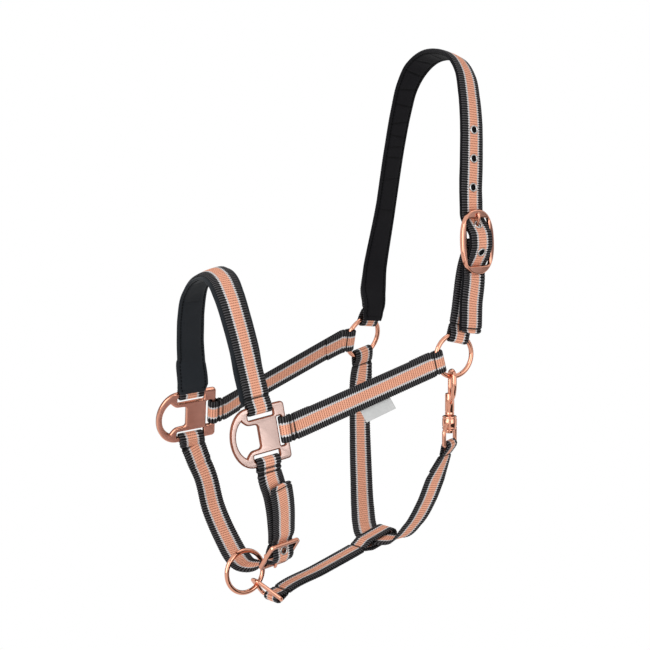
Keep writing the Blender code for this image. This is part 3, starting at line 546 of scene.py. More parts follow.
def sewn_end(centre, axis, away, face, bar, slack, stitch, half):
    """Stations of a sewn loop, from the inner stitch round the bar to the outer stitch."""
    turn = bar + GAP + web_thick() / 2
    flat = (web_thick() + GAP) / 2
    full = web_half()

    def station(along, high, width):
        return (centre + away * along + face * high, axis.copy(), width)

    def side(sign):
        made = []
        for k in range(1, SIDE_STEPS + 1):
            part = k / SIDE_STEPS
            bend = ease(part, 0, 1)
            high = sign * (turn + (flat - turn) * bend)
            made.append(station(slack + (stitch - slack) * part, high, half + (full - half) * bend))
        return made

    made = side(-1)[::-1]
    if slack:
        made.append(station(slack, -turn, half))
    for high, back in arc((0, 0), (turn, turn), 0, 180, TURN_STEPS):
        made.append(station(-back, -high, half))
    if slack:
        made.append(station(slack, turn, half))
    return made + side(1)


def smooth(stops, first, last):
    """Cubic run through the stops, with the given end directions, in fine pieces."""
    count = len(stops)
    tangents = [first.normalized()]
    for i in range(1, count - 1):
        before = stops[i][0] - stops[i - 1][0]
        after = stops[i + 1][0] - stops[i][0]
        mixed = before.normalized() * after.length + after.normalized() * before.length
        tangents.append(mixed.normalized())
    tangents.append(last.normalized())
    made = []
    for i in range(count - 1):
        (p0, w0, h0), (p1, w1, h1) = stops[i], stops[i + 1]
        span = (p1 - p0).length
        pieces = max(1, round(span / FINE))
        for k in range(1, pieces + 1):
            t = k / pieces
            a = 2 * t ** 3 - 3 * t ** 2 + 1
            b = t ** 3 - 2 * t ** 2 + t
            c = 3 * t ** 2 - 2 * t ** 3
            d = t ** 3 - t ** 2
            point = p0 * a + tangents[i] * (b * span) + p1 * c + tangents[i + 1] * (d * span)
            made.append((point, w0.lerp(w1, t).normalized(), h0 + (h1 - h0) * t))
    return made


def tidy(route):
    """The route with each width direction square to it, as (point, along, across, half width)."""
    made = []
    for i, (point, across, half) in enumerate(route):
        ahead = route[min(i + 1, len(route) - 1)][0]
        behind = route[max(i - 1, 0)][0]
        along = (ahead - behind).normalized()
        square = (across - along * across.dot(along)).normalized()
        made.append((point, along, square, half))
    return made


def lengths(route):
    run = [0.0]
    for i in range(1, len(route)):
        run.append(run[-1] + (route[i][0] - route[i - 1][0]).length)
    return run


class Path:
    """A route that can be read at any length along it."""

    def __init__(self, route):
        self.route = route
        self.run = lengths(route)
        self.stations = tidy(route)
        self.length = self.run[-1]

    def at(self, s):
        i = min(max(int(np.searchsorted(self.run, s)), 1), len(self.run) - 1)
        part = (s - self.run[i - 1]) / (self.run[i] - self.run[i - 1])
        a, b = self.stations[i - 1], self.stations[i]
        along = a[1].lerp(b[1], part).normalized()
        across = a[2].lerp(b[2], part)
        across = (across - along * across.dot(along)).normalized()
        return a[0].lerp(b[0], part), along, across, a[3] + (b[3] - a[3]) * part

    def nearest(self, point):
        """The length along the route that comes nearest to a point."""
        marks = range(int(self.length * MARKS_A_MM))
        return min(marks, key=lambda k: (self.at(k / MARKS_A_MM)[0] - point).length) / MARKS_A_MM

    def layer(self, start, end, depth, half, outward):
        """A second layer under part of the route: depth and half width are functions of the run."""
        marks = [start] + [s for s in self.run if start + LAYER_CLEAR < s < end - LAYER_CLEAR] + [end]
        made = []
        for s in marks:
            point, along, across, _ = self.at(s)
            normal = along.cross(across) * outward
            made.append((point - normal * depth(s), across, half(s)))
        return made

    def flattened(self, marks):
        """The route held straight at each eyelet, and the eyelets' places."""
        found = []
        for i, s in enumerate(self.run):
            if all(abs(s - m) > EYELET_FLAT + EYELET_CLEAR for m in marks):
                found.append((s, self.route[i]))
        places = []
        for mark in marks:
            _, _, across, half = self.at(mark)
            ends = [self.at(mark - EYELET_FLAT)[0], self.at(mark + EYELET_FLAT)[0]]
            found.append((mark - EYELET_FLAT, (ends[0], across, half)))
            found.append((mark + EYELET_FLAT, (ends[1], across, half)))
            along = (ends[1] - ends[0]).normalized()
            across = (across - along * across.dot(along)).normalized()
            places.append(((ends[0] + ends[1]) / 2, along, across))
        found.sort(key=lambda pair: pair[0])
        return [station for _, station in found], places


def facing(path, face):
    """1 where the normal of a path's start is on the side of the face, and -1 where it isn't."""
    _, along, across, _ = path.at(JUST_IN)
    return 1 if along.cross(across).dot(face) > 0 else -1


def lap(line, reach, face, reverse=False):
    """The sewn-back layer under one end of a run, from its free end to the stitch."""
    path = Path(line[::-1] if reverse else line)
    layer = path.layer(0.0, reach, lambda s: web_thick() + GAP, lambda s: web_half(), facing(path, face))
    return layer[:0:-1]


def swung(a, b, degrees):
    """Two square directions swung in their own plane, a towards b."""
    angle = math.radians(degrees)
    return a * math.cos(angle) + b * math.sin(angle), b * math.cos(angle) - a * math.sin(angle)


def side_frame(plate, ring, lean, dip=0.0, toe=0.0):
    """Along the cheek to the rear, up the fitting, and out of it.

    Its top leans inwards, its rear end dips from the line of the cheek, and it toes in.
    """
    back = (ring - plate).normalized()
    up = (Z - back * back.z).normalized()
    out = back.cross(up)
    if out.x * plate.x < 0:
        out = -out
    out, up = swung(out, up, lean)
    up, back = swung(up, back, dip)
    out, back = swung(out, back, toe)
    return back, up, out


NEAR_FRAME = side_frame(NEAR_PLATE, NEAR_RING, NEAR_LEAN, NEAR_DIP)
NEAR_RING_FRAME = side_frame(NEAR_PLATE, NEAR_RING, 0.0)
OFF_FRAME = side_frame(OFF_PLATE, OFF_RING, OFF_LEAN, OFF_DIP, OFF_TOE)
OFF_RING_FRAME = side_frame(OFF_PLATE, OFF_RING, OFF_RING_LEAN)
OFF_HOLD_FRAME = (*swung(*OFF_RING_FRAME[:2], OFF_CHEEK_TURN), OFF_RING_FRAME[2])
CROWN_LEAN = math.radians(CROWN_BUCKLE_LEAN)
CROWN_UP = Vector((-math.sin(CROWN_LEAN), 0, math.cos(CROWN_LEAN)))
CROWN_OUT = Vector((math.cos(CROWN_LEAN), 0, math.sin(CROWN_LEAN)))
CROWN_ACROSS = CROWN_UP.cross(CROWN_OUT)
CROWN_BAR = CROWN_BUCKLE - CROWN_OUT * BUCKLE_BAR_DROP
CHIN_UP = Vector((0.68, -0.02, 0.73)).normalized()
CHIN_ACROSS = Vector((-0.08, 0.985, 0.14))
CHIN_ACROSS = (CHIN_ACROSS - CHIN_UP * CHIN_ACROSS.dot(CHIN_UP)).normalized()
CHIN_OUT = CHIN_ACROSS.cross(CHIN_UP)
CHIN_BAR = CHIN_BUCKLE - CHIN_OUT * BUCKLE_BAR_DROP
JAW_DIR = (JAW_REAR - JAW_BAR).normalized()
JAW_FACE = Vector((0, -JAW_DIR.z, JAW_DIR.y))
SNAP = NEAR_RING - NEAR_RING_FRAME[2] * SNAP_AXIS_IN
SNAP_TOP = Vector((SNAP.x, SNAP.y, NEAR_RING.z - RING_R))
EYE_AXIS = Vector((-0.5, 0.866, 0)).normalized()
CROWN_RUN = [(33, -6.2), (26.3, -6.2), (16, 0.8), (8.5, 6.6), (0, 7.4), (-9, 6.2), (-17, 0), (-26.3, -6.2),
             (-33, -6.2)]
CHIN_RUN = [(-20, -5.7), (-16.2, -5.5), (-9, 1.9), (-3.4, 5.9), (2, 5.9), (8, 2.6), (15.8, -5.5),
            (19.5, -5.7)]


def ring_end(centre, ring_frame, degrees):
    back, up, out = ring_frame
    angle = math.radians(degrees)
    radial = back * math.cos(angle) + up * math.sin(angle)
    tangent = back * math.sin(angle) - up * math.cos(angle)
    bar = centre + radial * RING_FOLD
    return sewn_end(bar, tangent, radial, out, RING_WIRE, RING_SLACK, RING_STITCH, FOLD_HALF), radial


def plate_end(bar, axis, away, out):
    return sewn_end(bar, axis, away, out, BAR_R, 0, BAR_STITCH, web_half())


def level_end(plate, plate_frame, side):
    """Sewn end on the top bar of a side plate, or with side -1 on its bottom bar."""
    back, up, out = plate_frame
    bar = plate + up * (side * PLATE_TOP_BAR) - back * PLATE_STRAP_FORE
    return plate_end(bar, back, up * side, out)


class Strap:
    """One strap: its whole route, its open run, where that begins and ends, and which way is outwards."""

    def __init__(self, start, line, face, end=(), loops=(0.0, 0.0)):
        self.loops = loops
        self.line = Path(line)
        self.outward = facing(self.line, face)
        self.route = start + line + list(end)
        self.begin = lengths(start + line[:1])[-1]
        self.finish = self.begin + self.line.length

    def under(self, s):
        """The same place on the layer sewn back below it, or None at a free end."""
        early = s < (self.begin + self.finish) / 2
        loop = self.loops[0 if early else 1]
        if not loop:
            return None
        return 2 * self.begin - loop - s if early else 2 * self.finish + loop - s

    def end_rows(self):
        """The sewn rows just inside its two folds."""
        return self.begin + ROW_IN, self.finish - ROW_IN


def sewn_strap(first, line, last, first_face, last_face, meeting=False):
    """A strap sewn back at both ends: lap, loop, run, loop, lap. Meeting laps double the whole run."""
    reach = (lengths(line)[-1] - GAP) / 2 if meeting else LAP - BAR_STITCH
    start = lap(line, reach, first_face) + first[:-1]
    end = last[:-1][::-1] + lap(line, reach, last_face, True)[::-1]
    return Strap(start, line, first_face, end, (lengths(first)[-1], lengths(last)[-1]))


def tailed_strap(first, line, face):
    """A strap sewn back at its start, with a free tail."""
    start = lap(line, LAP - BAR_STITCH, face) + first[:-1]
    return Strap(start, line, face, loops=(lengths(first)[-1], 0.0))


def over_fold(end, away):
    """Stations straight on from a run over its sewn fold, for the pad below."""
    steps = range(PAD_OVER_STEPS, 0, -1)
    return [(end[0] - away * (PAD_OVER * k / PAD_OVER_STEPS), end[1], end[2]) for k in steps]


def pad_depth(reach, thick, bar, slack, stitch):
    """How deep a pad's middle lies, at a distance from its end: below the lap, and off the swelling fold."""
    lapped = PAD_OVER + LAP - BAR_STITCH + PAD_LAP_ROOM
    under = (web_thick() + GAP) * (1 - ease(reach, lapped, lapped + PAD_BRIDGE))
    rise = (bar + GAP / 2) * (1 - ease(stitch - PAD_OVER + reach, slack, stitch))
    return web_thick() / 2 + PAD_GAP + thick / 2 + under + rise


def stop(point, across):
    """A station of full width."""
    return (Vector(point), Vector(across), web_half())


def flipped(stations):
    """The stations with their width directions turned about."""
    return [(point, -across, half) for point, across, half in stations]


def cheek_route(plate, plate_frame, centre, ring_frame):
    p_back, p_up, p_out = plate_frame
    r_back, r_up, r_out = ring_frame
    front = plate_end(plate + p_back * PLATE_REAR_BAR, p_up, p_back, p_out)
    rear = sewn_end(centre - r_back * RING_FOLD, r_up, -r_back, r_out, RING_WIRE, RING_SLACK,
                    RING_STITCH, FOLD_HALF)
    straight = (rear[-1][0] - front[-1][0]).normalized()
    line = [front[-1]] + smooth([front[-1], rear[-1]], straight, straight)
    return sewn_strap(front, line, rear, p_out, r_out)


def nose_route():
    off_end = level_end(OFF_PLATE, OFF_FRAME, 1)
    near_end = level_end(NEAR_PLATE, NEAR_FRAME, 1)
    places = [(-x, y, z) for x, y, z in NOSE_SIDE] + [NOSE_TOP] + list(NOSE_SIDE[::-1])
    stops = [off_end[-1]] + [stop(point, NOSE_ACROSS) for point in places] + [near_end[-1]]
    line = [off_end[-1]] + smooth(stops, OFF_FRAME[1], -NEAR_FRAME[1])
    return sewn_strap(off_end, line, near_end, OFF_FRAME[2], NEAR_FRAME[2])


def crown_stop(along, high):
    return (CROWN_BUCKLE + CROWN_UP * along + CROWN_OUT * high, Y, web_half())


def crown_route():
    """The crown strap, its eyelets' places and the length at the buckle's tongue."""
    off_end, off_dir = ring_end(OFF_RING, OFF_RING_FRAME, CROWN_AT_RING)
    stops = [off_end[-1]]
    stops += [stop(point, Vector(across).normalized()) for point, across in CROWN_STOPS]
    stops += [crown_stop(along, high) for along, high in CROWN_RUN]
    stops += [stop(point, Vector(across).normalized()) for point, across in CROWN_TAIL]
    line = [off_end[-1]] + smooth(stops, off_dir, CROWN_TAIL_WAY)
    path = Path(line)
    hit = path.nearest(crown_stop(*CROWN_RUN[2])[0])
    marks = []
    for k in range(CROWN_HOLES):
        marks.append(hit + CROWN_PITCH * (k - CROWN_HELD) - (CROWN_DIVE if k < CROWN_HELD else 0))
    line, places = path.flattened(marks)
    return tailed_strap(off_end, line, OFF_RING_FRAME[2]), places, hit


def crown_chape_route():
    end, away = ring_end(NEAR_RING, NEAR_RING_FRAME, CROWN_CHAPE_AT_RING)
    face, up = swung(CROWN_OUT, -CROWN_UP, CROWN_CHAPE_TILT)
    top = sewn_end(CROWN_BAR, -CROWN_ACROSS, up, face, BUCKLE_BAR_R, 0, BAR_STITCH, web_half())
    if top[0][1].dot(end[0][1]) < 0:
        top = flipped(top)
    line = [end[-1]] + smooth([end[-1], top[-1]], away, -up)
    return sewn_strap(end, line, top, NEAR_RING_FRAME[2], face, True)


def chin_stop(along, high):
    return (CHIN_BUCKLE + CHIN_UP * along + CHIN_OUT * high, CHIN_ACROSS, web_half())


def chin_route():
    """The chin strap and its eyelets' places."""
    off_end = level_end(OFF_PLATE, OFF_FRAME, -1)
    stops = [off_end[-1]] + [stop(point, CHIN_ACROSS_BELOW) for point in CHIN_STOPS]
    stops.append((Vector(CHIN_IN_RING), Vector(CHIN_ACROSS_BELOW), CHIN_RING_HALF))
    stops += [chin_stop(along, high) for along, high in CHIN_RUN]
    stops += [stop(point, across) for point, across in CHIN_TAIL]
    line = [off_end[-1]] + smooth(stops, stops[1][0] - stops[0][0], CHIN_TAIL_WAY)
    path = Path(line)
    hit = path.nearest(chin_stop(*CHIN_RUN[2])[0])
    line, places = path.flattened([hit, hit + CHIN_PITCH])
    return tailed_strap(off_end, line, OFF_FRAME[2]), places


def chin_chape_route():
    near_end = level_end(NEAR_PLATE, NEAR_FRAME, -1)
    face, away = swung(CHIN_OUT, CHIN_UP, CHIN_CHAPE_TILT)
    end = sewn_end(CHIN_BAR, CHIN_ACROSS, away, face, BUCKLE_BAR_R, 0, BAR_STITCH, web_half())
    stops = [near_end[-1]] + [stop(point, across) for point, across in CHIN_CHAPE_STOPS] + [end[-1]]
    line = [near_end[-1]] + smooth(stops, -NEAR_FRAME[1], -away)
    return sewn_strap(near_end, line, end, NEAR_FRAME[2], face, True)


def jaw_route():
    front_dir = (JAW_DIR + JAW_FACE * JAW_FRONT_TILT).normalized()
    front_face = (JAW_FACE - JAW_DIR * JAW_FRONT_TILT).normalized()
    front = sewn_end(JAW_BAR, X, front_dir, front_face, LINK_R, 0, BAR_STITCH, FOLD_HALF)
    rear = sewn_end(JAW_REAR, X, -JAW_DIR, JAW_FACE, JAW_LOOP_R, JAW_LOOP, JAW_LOOP + BAR_STITCH, web_half())
    middle = stop(JAW_BAR.lerp(JAW_REAR, JAW_RISE_AT) + JAW_FACE * JAW_RISE, X)
    line = [front[-1]] + smooth([front[-1], middle, rear[-1]], front_dir, JAW_DIR)
    return sewn_strap(front, line, rear, front_face, JAW_FACE, True)


def throat_route():
    off_end, off_dir = ring_end(OFF_RING, OFF_RING_FRAME, THROAT_AT_RING)
    away = THROAT_EYE_WAY.normalized()
    away = (away - EYE_AXIS * away.dot(EYE_AXIS)).normalized()
    face = EYE_AXIS.cross(away)
    if face.x < 0:
        face = -face
    end = sewn_end(SNAP_TOP - Z * EYE_DROP, EYE_AXIS, away, face, EYE_WIRE, 0, BAR_STITCH, FOLD_HALF)
    if off_end[0][1].y < 0:
        off_end = flipped(off_end)
    middle = JAW_REAR - JAW_DIR * THROAT_LOOP_IN
    off_across = Y.lerp(JAW_DIR, THROAT_OFF_TURN).normalized()
    near_across = Y.lerp(JAW_DIR, THROAT_NEAR_TURN).normalized()
    stops = [off_end[-1]] + [stop(point, off_across) for point in THROAT_OFF]
    stops += [stop(middle + X * x + JAW_FACE * high, JAW_DIR) for x, high in THROAT_LOOP]
    stops += [stop(point, near_across) for point in THROAT_NEAR] + [end[-1]]
    line = [off_end[-1]] + smooth(stops, off_dir, -away)
    return sewn_strap(off_end, line, end, OFF_RING_FRAME[2], face)


# Swept pieces


class Sweep:
    """A route cut into even, gently smoothed steps, as arrays in millimetres."""

    def __init__(self, route, step):
        run = np.array(lengths(route))
        keep = np.concatenate(([True], np.diff(run) > SAME_PLACE))
        run = run[keep]
        count = max(LEAST_STEPS, round(run[-1] / step))
        self.s = np.linspace(0, run[-1], count + 1)

        def spread(values):
            rows = np.array(values, float).reshape(len(route), -1)[keep]
            rows = np.stack([np.interp(self.s, run, column) for column in rows.T], 1)
            return soften(rows, BLUR * count / run[-1])

        self.point = spread([tuple(p) for p, _, _ in route])
        across = spread([tuple(w) for _, w, _ in route])
        self.half = spread([h for _, _, h in route])[:, 0]
        along = np.gradient(self.point, axis=0)
        self.along = along / np.linalg.norm(along, axis=1, keepdims=True)
        across -= self.along * np.sum(across * self.along, 1, keepdims=True)
        self.across = across / np.linalg.norm(across, axis=1, keepdims=True)
        self.normal = np.cross(self.along, self.across)

    def at(self, s):
        i = int(np.clip(np.searchsorted(self.s, s), 0, len(self.s) - 1))
        return self.point[i], self.along[i], self.across[i], self.normal[i], self.half[i]

    def surface(self, wide, high):
        """Points for arrays of offsets across and along the normal, one column for each profile point."""
        return (self.point[:, None] + self.across[:, None] * wide[..., None]
                + self.normal[:, None] * high[..., None])


def soften(rows, sigma):
    """Gaussian smoothing of each column that keeps the two ends."""
    reach = int(3 * sigma) + 1
    weights = np.exp(-0.5 * (np.arange(-reach, reach + 1) / max(sigma, 1e-6)) ** 2)
    weights /= weights.sum()
    padded = np.pad(rows, ((reach, reach), (0, 0)), mode="reflect", reflect_type="odd")
    return np.stack([np.convolve(column, weights, "valid") for column in padded.T], 1)


def tube_mesh(name, points, along, across):
    """A closed tube of rings with its map: along in metres, across from 0 to 1."""
    rings, sides = points.shape[:2]
    index = np.arange(rings * sides).reshape(rings, sides)
    following = np.roll(index, -1, axis=1)
    quads = np.stack([index[:-1], following[:-1], following[1:], index[1:]], -1).reshape(-1, 4)
    faces = quads.tolist() + [index[0, ::-1].tolist(), index[-1].tolist()]
    mesh = bpy.data.meshes.new(name)
    mesh.from_pydata((points * MM).reshape(-1, 3).tolist(), [], faces)
    layer = mesh.uv_layers.new(name="Weave")
    corners = np.empty(len(mesh.loops), np.int32)
    mesh.loops.foreach_get("vertex_index", corners)
    pairs = np.stack([np.repeat(along * MM, sides), np.tile(across, rings)], 1)
    layer.data.foreach_set("uv", pairs[corners].astype(np.float32).ravel())
    mesh.shade_smooth()
    return mesh


def linked(name, data):
    """A new object in the scene."""
    thing = bpy.data.objects.new(name, data)
    bpy.context.scene.collection.objects.link(thing)
    return thing


def coat(mesh, *finishes):
    mesh.materials.clear()
    for finish in finishes:
        mesh.materials.append(finish)


def place(name, mesh, finish, body, replaced=()):
    """A finished piece on its body, standing for the named frame nodes."""
    thing = linked(name, mesh)
    coat(mesh, finish)
    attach(thing, body)
    if replaced:
        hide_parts(*replaced)
    return thing


def webbing_profile():
    """Places across the web, and which face each one is on, round the section from its lower left corner."""
    half = np.concatenate((-WEB_SPREAD, WEB_SPREAD[-2::-1]))
    wide = np.concatenate((half, [1.0], half[::-1], [-1.0]))
    face = np.concatenate((-np.ones(len(half)), [0.0], np.ones(len(half)), [0.0]))
    return wide, face


def mark_fold_shade(mesh, values):
    """Notes how deep in a fold each point lies, for painted shade in the fold."""
    noted = mesh.attributes.new("fold", "FLOAT", "POINT")
    noted.data.foreach_set("value", np.clip(values, 0, 1).astype(np.float32))


def corner_cut(distance, radius):
    """How much narrower a web is at a distance from an end with rounded corners."""
    inside = np.clip(radius - distance, 0, radius)
    return radius - np.sqrt(radius ** 2 - inside ** 2)


def webbing(name, strap, node, rows, ends=(LAID_END, LAID_END), bow=None, holes=(), slot_bar=None, sway=0.0):
    """Ribbed webbing along a strap's route, pinched at its sewn rows and bowed over any pad.

    Sway draws the strap sideways at its first row.
    """
    web = settings().webbing
    pitch = in_mm(web.rib_pitch)
    sweep = Sweep(strap.route, pitch / RIB_STEPS)
    wide, face = webbing_profile()
    ribbed = np.abs(np.cos(np.pi * sweep.s / pitch)) ** RIB_ROUND
    rounded_edge = np.where(np.abs(wide) > WEB_EDGE_FROM, WEB_EDGE_THIN, 1.0)
    crest = web_thick() / 2 + RIB_PROUD - in_mm(web.rib_height) * (1 - ribbed)
    narrow = np.zeros_like(sweep.s)
    pressed = np.zeros_like(sweep.s)
    for gap, (corner, amount) in zip((sweep.s, sweep.s[-1] - sweep.s), ends):
        narrow += corner_cut(gap, corner)
        pressed += amount * np.clip(1 - gap / END_PRESS, 0, 1)
    below = [strap.under(row) for row in rows]
    below = [row for row in below if row is not None]
    if sway:
        near_row = np.minimum(np.abs(sweep.s - rows[0]), np.abs(sweep.s - below[0]))
        sweep.point += sweep.across * (sway * np.exp(-(near_row / SWAY_REACH) ** 2))[:, None]
    # The pinch of each row also paints shade in its fold
    folds = np.zeros_like(sweep.s)
    for row in (*rows, *below):
        pinch = np.exp(-((sweep.s - row) / ROW_WIDE) ** 2)
        crest -= ROW_PINCH * pinch
        narrow += ROW_DRAW * pinch
        folds += pinch
    for before, after in (*zip(rows, rows[1:]), *zip(below[1:], below)):
        if 0 < after - before < ROW_PAIR:
            crest += ROW_SWELL * np.exp(-((sweep.s - (before + after) / 2) / ROW_SWELL_WIDE) ** 2)
    high = np.outer(np.maximum(crest, WEB_LEAST) * (1 - pressed), face * rounded_edge)
    high -= (strap.outward * pressed * web_thick() / 2)[:, None]
    for row in (*rows, *below):
        high -= strap.outward * ROW_SINK * np.exp(-((sweep.s - row) / ROW_SINK_WIDE) ** 2)[:, None]
    if bow is not None:
        amount = np.array([bow(s) for s in sweep.s])
        high -= strap.outward * np.outer(amount, wide ** 2)
    edge = np.where(face == 0, np.sign(wide), 0.0)
    across = (sweep.half - narrow)[:, None] * wide
    across += np.outer(2 * ribbed - 1, edge * in_mm(web.edge_wave))
    mesh = tube_mesh(name, sweep.surface(across, high), sweep.s, (wide + 1) / 2)
    mark_fold_shade(mesh, np.repeat(folds, len(wide)))
    thing = place(name, mesh, webbing_paint(), "straps", [node])
    cutters = []
    for point, along, across in holes:
        reach = along.cross(across) * CUT_REACH
        cutters.append(cylinder(EYELET_TUBE + EYELET_ROOM, point - reach, point + reach, SIDES["hole"]))
    if slot_bar is not None:
        bar, axis = slot_bar
        reach = axis * TONGUE_SLOT
        cutters.append(cylinder(TONGUE_SLOT_R, bar - reach, bar + reach, SIDES["slot"]))
    combine(thing, cutters, "DIFFERENCE")
    return sweep


def baked(thing):
    """The mesh of a thing with all that is set on it applied."""
    bpy.context.view_layer.update()
    ready = thing.evaluated_get(bpy.context.evaluated_depsgraph_get())
    mesh = bpy.data.meshes.new_from_object(ready)
    if len(mesh.polygons) == 0:
        raise RuntimeError("nothing is left of " + thing.name)
    return mesh


def combine(thing, meshes, operation):
    """Joins the meshes to a piece, or takes them out of it, for good."""
    for mesh in meshes:
        tool = linked("tool", mesh)
        step = thing.modifiers.new("combine", "BOOLEAN")
        step.operation = operation
        step.solver = "EXACT"
        step.object = tool
        mesh = baked(thing)
        thing.modifiers.clear()
        thing.data = mesh
        bpy.data.objects.remove(tool)


def even(mesh, sharp=None):
    """The mesh with its faces turned outwards and shaded smooth, sharp only past the given angle."""
    body = bmesh.new()
    body.from_mesh(mesh)
    bmesh.ops.remove_doubles(body, verts=body.verts, dist=WELD)
    bmesh.ops.recalc_face_normals(body, faces=body.faces)
    body.to_mesh(mesh)
    body.free()
    mesh.shade_smooth()
    if sharp is not None:
        mesh.set_sharp_from_angle(angle=math.radians(sharp))
    return mesh


def mesh_from(body, name):
    mesh = bpy.data.meshes.new(name)
    body.to_mesh(mesh)
    body.free()
    return mesh


def cylinder(radius, start, end, sides):
    axis = end - start
    turn = axis.to_track_quat("Z", "Y").to_matrix().to_4x4()
    turn.translation = (start + end) * 0.5 * MM
    body = bmesh.new()
    bmesh.ops.create_cone(body, cap_ends=True, segments=sides, radius1=radius * MM, radius2=radius * MM,
                          depth=axis.length * MM, matrix=turn)
    return mesh_from(body, "cylinder")


# Stitching


def stitch_mesh(name, stitches):
    """Thread stitches, each a flattened bead from (centre, direction, normal, length)."""
    radius = in_mm(settings().trim.thread_radius)
    rings = np.linspace(-1, 1, BEAD_RINGS)
    angles = 2 * np.pi * np.arange(BEAD_SIDES) / BEAD_SIDES
    points, faces = [], []
    for count, (centre, direction, normal, reach) in enumerate(stitches):
        side = np.cross(normal, direction)
        start = count * BEAD_RINGS * BEAD_SIDES
        for i, x in enumerate(rings):
            size = radius * max(BEAD_TIP, math.sqrt(1 - abs(x) ** 3))
            middle = centre + direction * (x * reach / 2) - normal * (BEAD_SAG * x * x)
            section = np.outer(np.cos(angles), side) + BEAD_FLAT * np.outer(np.sin(angles), normal)
            points.append(middle + size * section)
            low = start + i * BEAD_SIDES
            for j in range(BEAD_SIDES if i < BEAD_RINGS - 1 else 0):
                k = (j + 1) % BEAD_SIDES
                faces.append((low + j, low + k, low + BEAD_SIDES + k, low + BEAD_SIDES + j))
        faces.append(tuple(start + j for j in reversed(range(BEAD_SIDES))))
        faces.append(tuple(start + (BEAD_RINGS - 1) * BEAD_SIDES + j for j in range(BEAD_SIDES)))
    mesh = bpy.data.meshes.new(name)
    mesh.from_pydata((np.concatenate(points) * MM).tolist(), [], faces)
    return even(mesh)


def cross_row(sweep, s, high, inset=ROW_INSET):
    """Stitches across a strap at one place along it, at a height over its middle plane."""
    point, _, across, normal, half = sweep.at(s)
    pitch = in_mm(settings().trim.stitch)
    count = int(2 * (half - inset) / pitch)
    up = normal * np.sign(high)
    made = []
    for k in range(count):
        aside = (k - (count - 1) / 2) * pitch
        made.append((point + across * aside + normal * high, across, up, pitch + STITCH_LAP))
    return made


def long_row(sweep, start, end, wide, high):
    """Stitches along a pad between two lengths, at an offset from its edge and a height over it."""
    pitch = in_mm(settings().trim.stitch) + SEAM_LONGER
    made = []
    for s in np.arange(start, end, pitch):
        point, along, across, normal, half = sweep.at(s)
        up = normal * np.sign(high)
        aside = np.sign(wide) * half - wide
        made.append((point + across * aside + normal * high, along, up, pitch - SEAM_GAP))
    return made


def sew(name, stitches, thread=SEWING_THREAD):
    place(name, stitch_mesh(name, stitches), thread_paint(*thread), "straps")


def sewn_rows(sweep, strap, rows):
    """Stitches of each row on the outer face, and on the far face of the layer below it."""
    high = ROW_HIGH * strap.outward
    made = []
    for row in rows:
        below = strap.under(row)
        made += cross_row(sweep, row, high)
        made += cross_row(sweep, row, -high) if below is None else cross_row(sweep, below, high)
    return made


def sewn_web(name, strap, node, rows, **finish):
    """Webbing with the stitches of its rows."""
    sweep = webbing(name + "_webbing", strap, node, rows, **finish)
    sew(name + "_stitching", sewn_rows(sweep, strap, rows))


# Paints


def paint(name, base, roughness, metallic=0.0):
    """A material with its shader's even values set, and its nodes to add to."""
    made = bpy.data.materials.new(name)
    made.use_nodes = True
    shader = made.node_tree.nodes["Principled BSDF"]
    shader.inputs["Base Color"].default_value = (*base, 1.0)
    shader.inputs["Roughness"].default_value = roughness
    shader.inputs["Metallic"].default_value = metallic
    return made, shader


class Nodes:
    """Short ways to add nodes to a material."""

    def __init__(self, made):
        self.tree = made.node_tree

    def add(self, kind, **values):
        node = self.tree.nodes.new(kind)
        for key, value in values.items():
            setattr(node, key, value)
        return node

    def link(self, source, target):
        self.tree.links.new(source, target)

    def feed(self, socket, value):
        if isinstance(value, (int, float, tuple)):
            socket.default_value = value
        else:
            self.link(value, socket)

    def maths(self, operation, a, b=0.0, c=0.0):
        node = self.add("ShaderNodeMath", operation=operation)
        for socket, value in zip(node.inputs, (a, b, c)):
            self.feed(socket, value)
        return node.outputs[0]

    def noise(self, scale, detail=2.0):
        node = self.add("ShaderNodeTexNoise")
        node.inputs["Scale"].default_value = scale
        node.inputs["Detail"].default_value = detail
        self.link(self.add("ShaderNodeTexCoord").outputs["Object"], node.inputs["Vector"])
        return node.outputs["Fac"]

    def between(self, value, low, high):
        """A 0 to 1 value moved to the range from low to high."""
        return self.maths("MULTIPLY_ADD", value, high - low, low)

    def mix(self, factor, a, b):
        node = self.add("ShaderNodeMix", data_type="RGBA", blend_type="MIX")
        self.feed(node.inputs["Factor"], factor)
        for socket, value in ((node.inputs["A"], a), (node.inputs["B"], b)):
            self.feed(socket, value)
        return node.outputs["Result"]

    def step(self, value, edge, soft):
        """0 below the edge and 1 above it, with a soft border."""
        node = self.add("ShaderNodeMapRange", interpolation_type="SMOOTHSTEP")
        self.feed(node.inputs["Value"], value)
        node.inputs["From Min"].default_value = edge - soft
        node.inputs["From Max"].default_value = edge + soft
        return node.outputs["Result"]

    def tint(self, shader, base, tone):
        """A base colour, even or from a socket, scaled by a tone."""
        node = self.add("ShaderNodeVectorMath", operation="SCALE")
        self.feed(node.inputs[0], base)
        self.link(tone, node.inputs["Scale"])
        self.link(node.outputs["Vector"], shader.inputs["Base Color"])

    def weave(self):
        """Places along and across a piece's map."""
        split = self.add("ShaderNodeSeparateXYZ")
        self.link(self.add("ShaderNodeUVMap", uv_map="Weave").outputs["UV"], split.inputs[0])
        return split.outputs["X"], split.outputs["Y"]

    def fold(self):
        """How deep in a fold a place lies, for painted shade there."""
        return self.add("ShaderNodeAttribute", attribute_name="fold").outputs["Fac"]

    def bump(self, height, distance, shader, strength):
        node = self.add("ShaderNodeBump")
        node.inputs["Strength"].default_value = strength
        node.inputs["Distance"].default_value = distance
        self.link(height, node.inputs["Height"])
        self.link(node.outputs["Normal"], shader.inputs["Normal"])


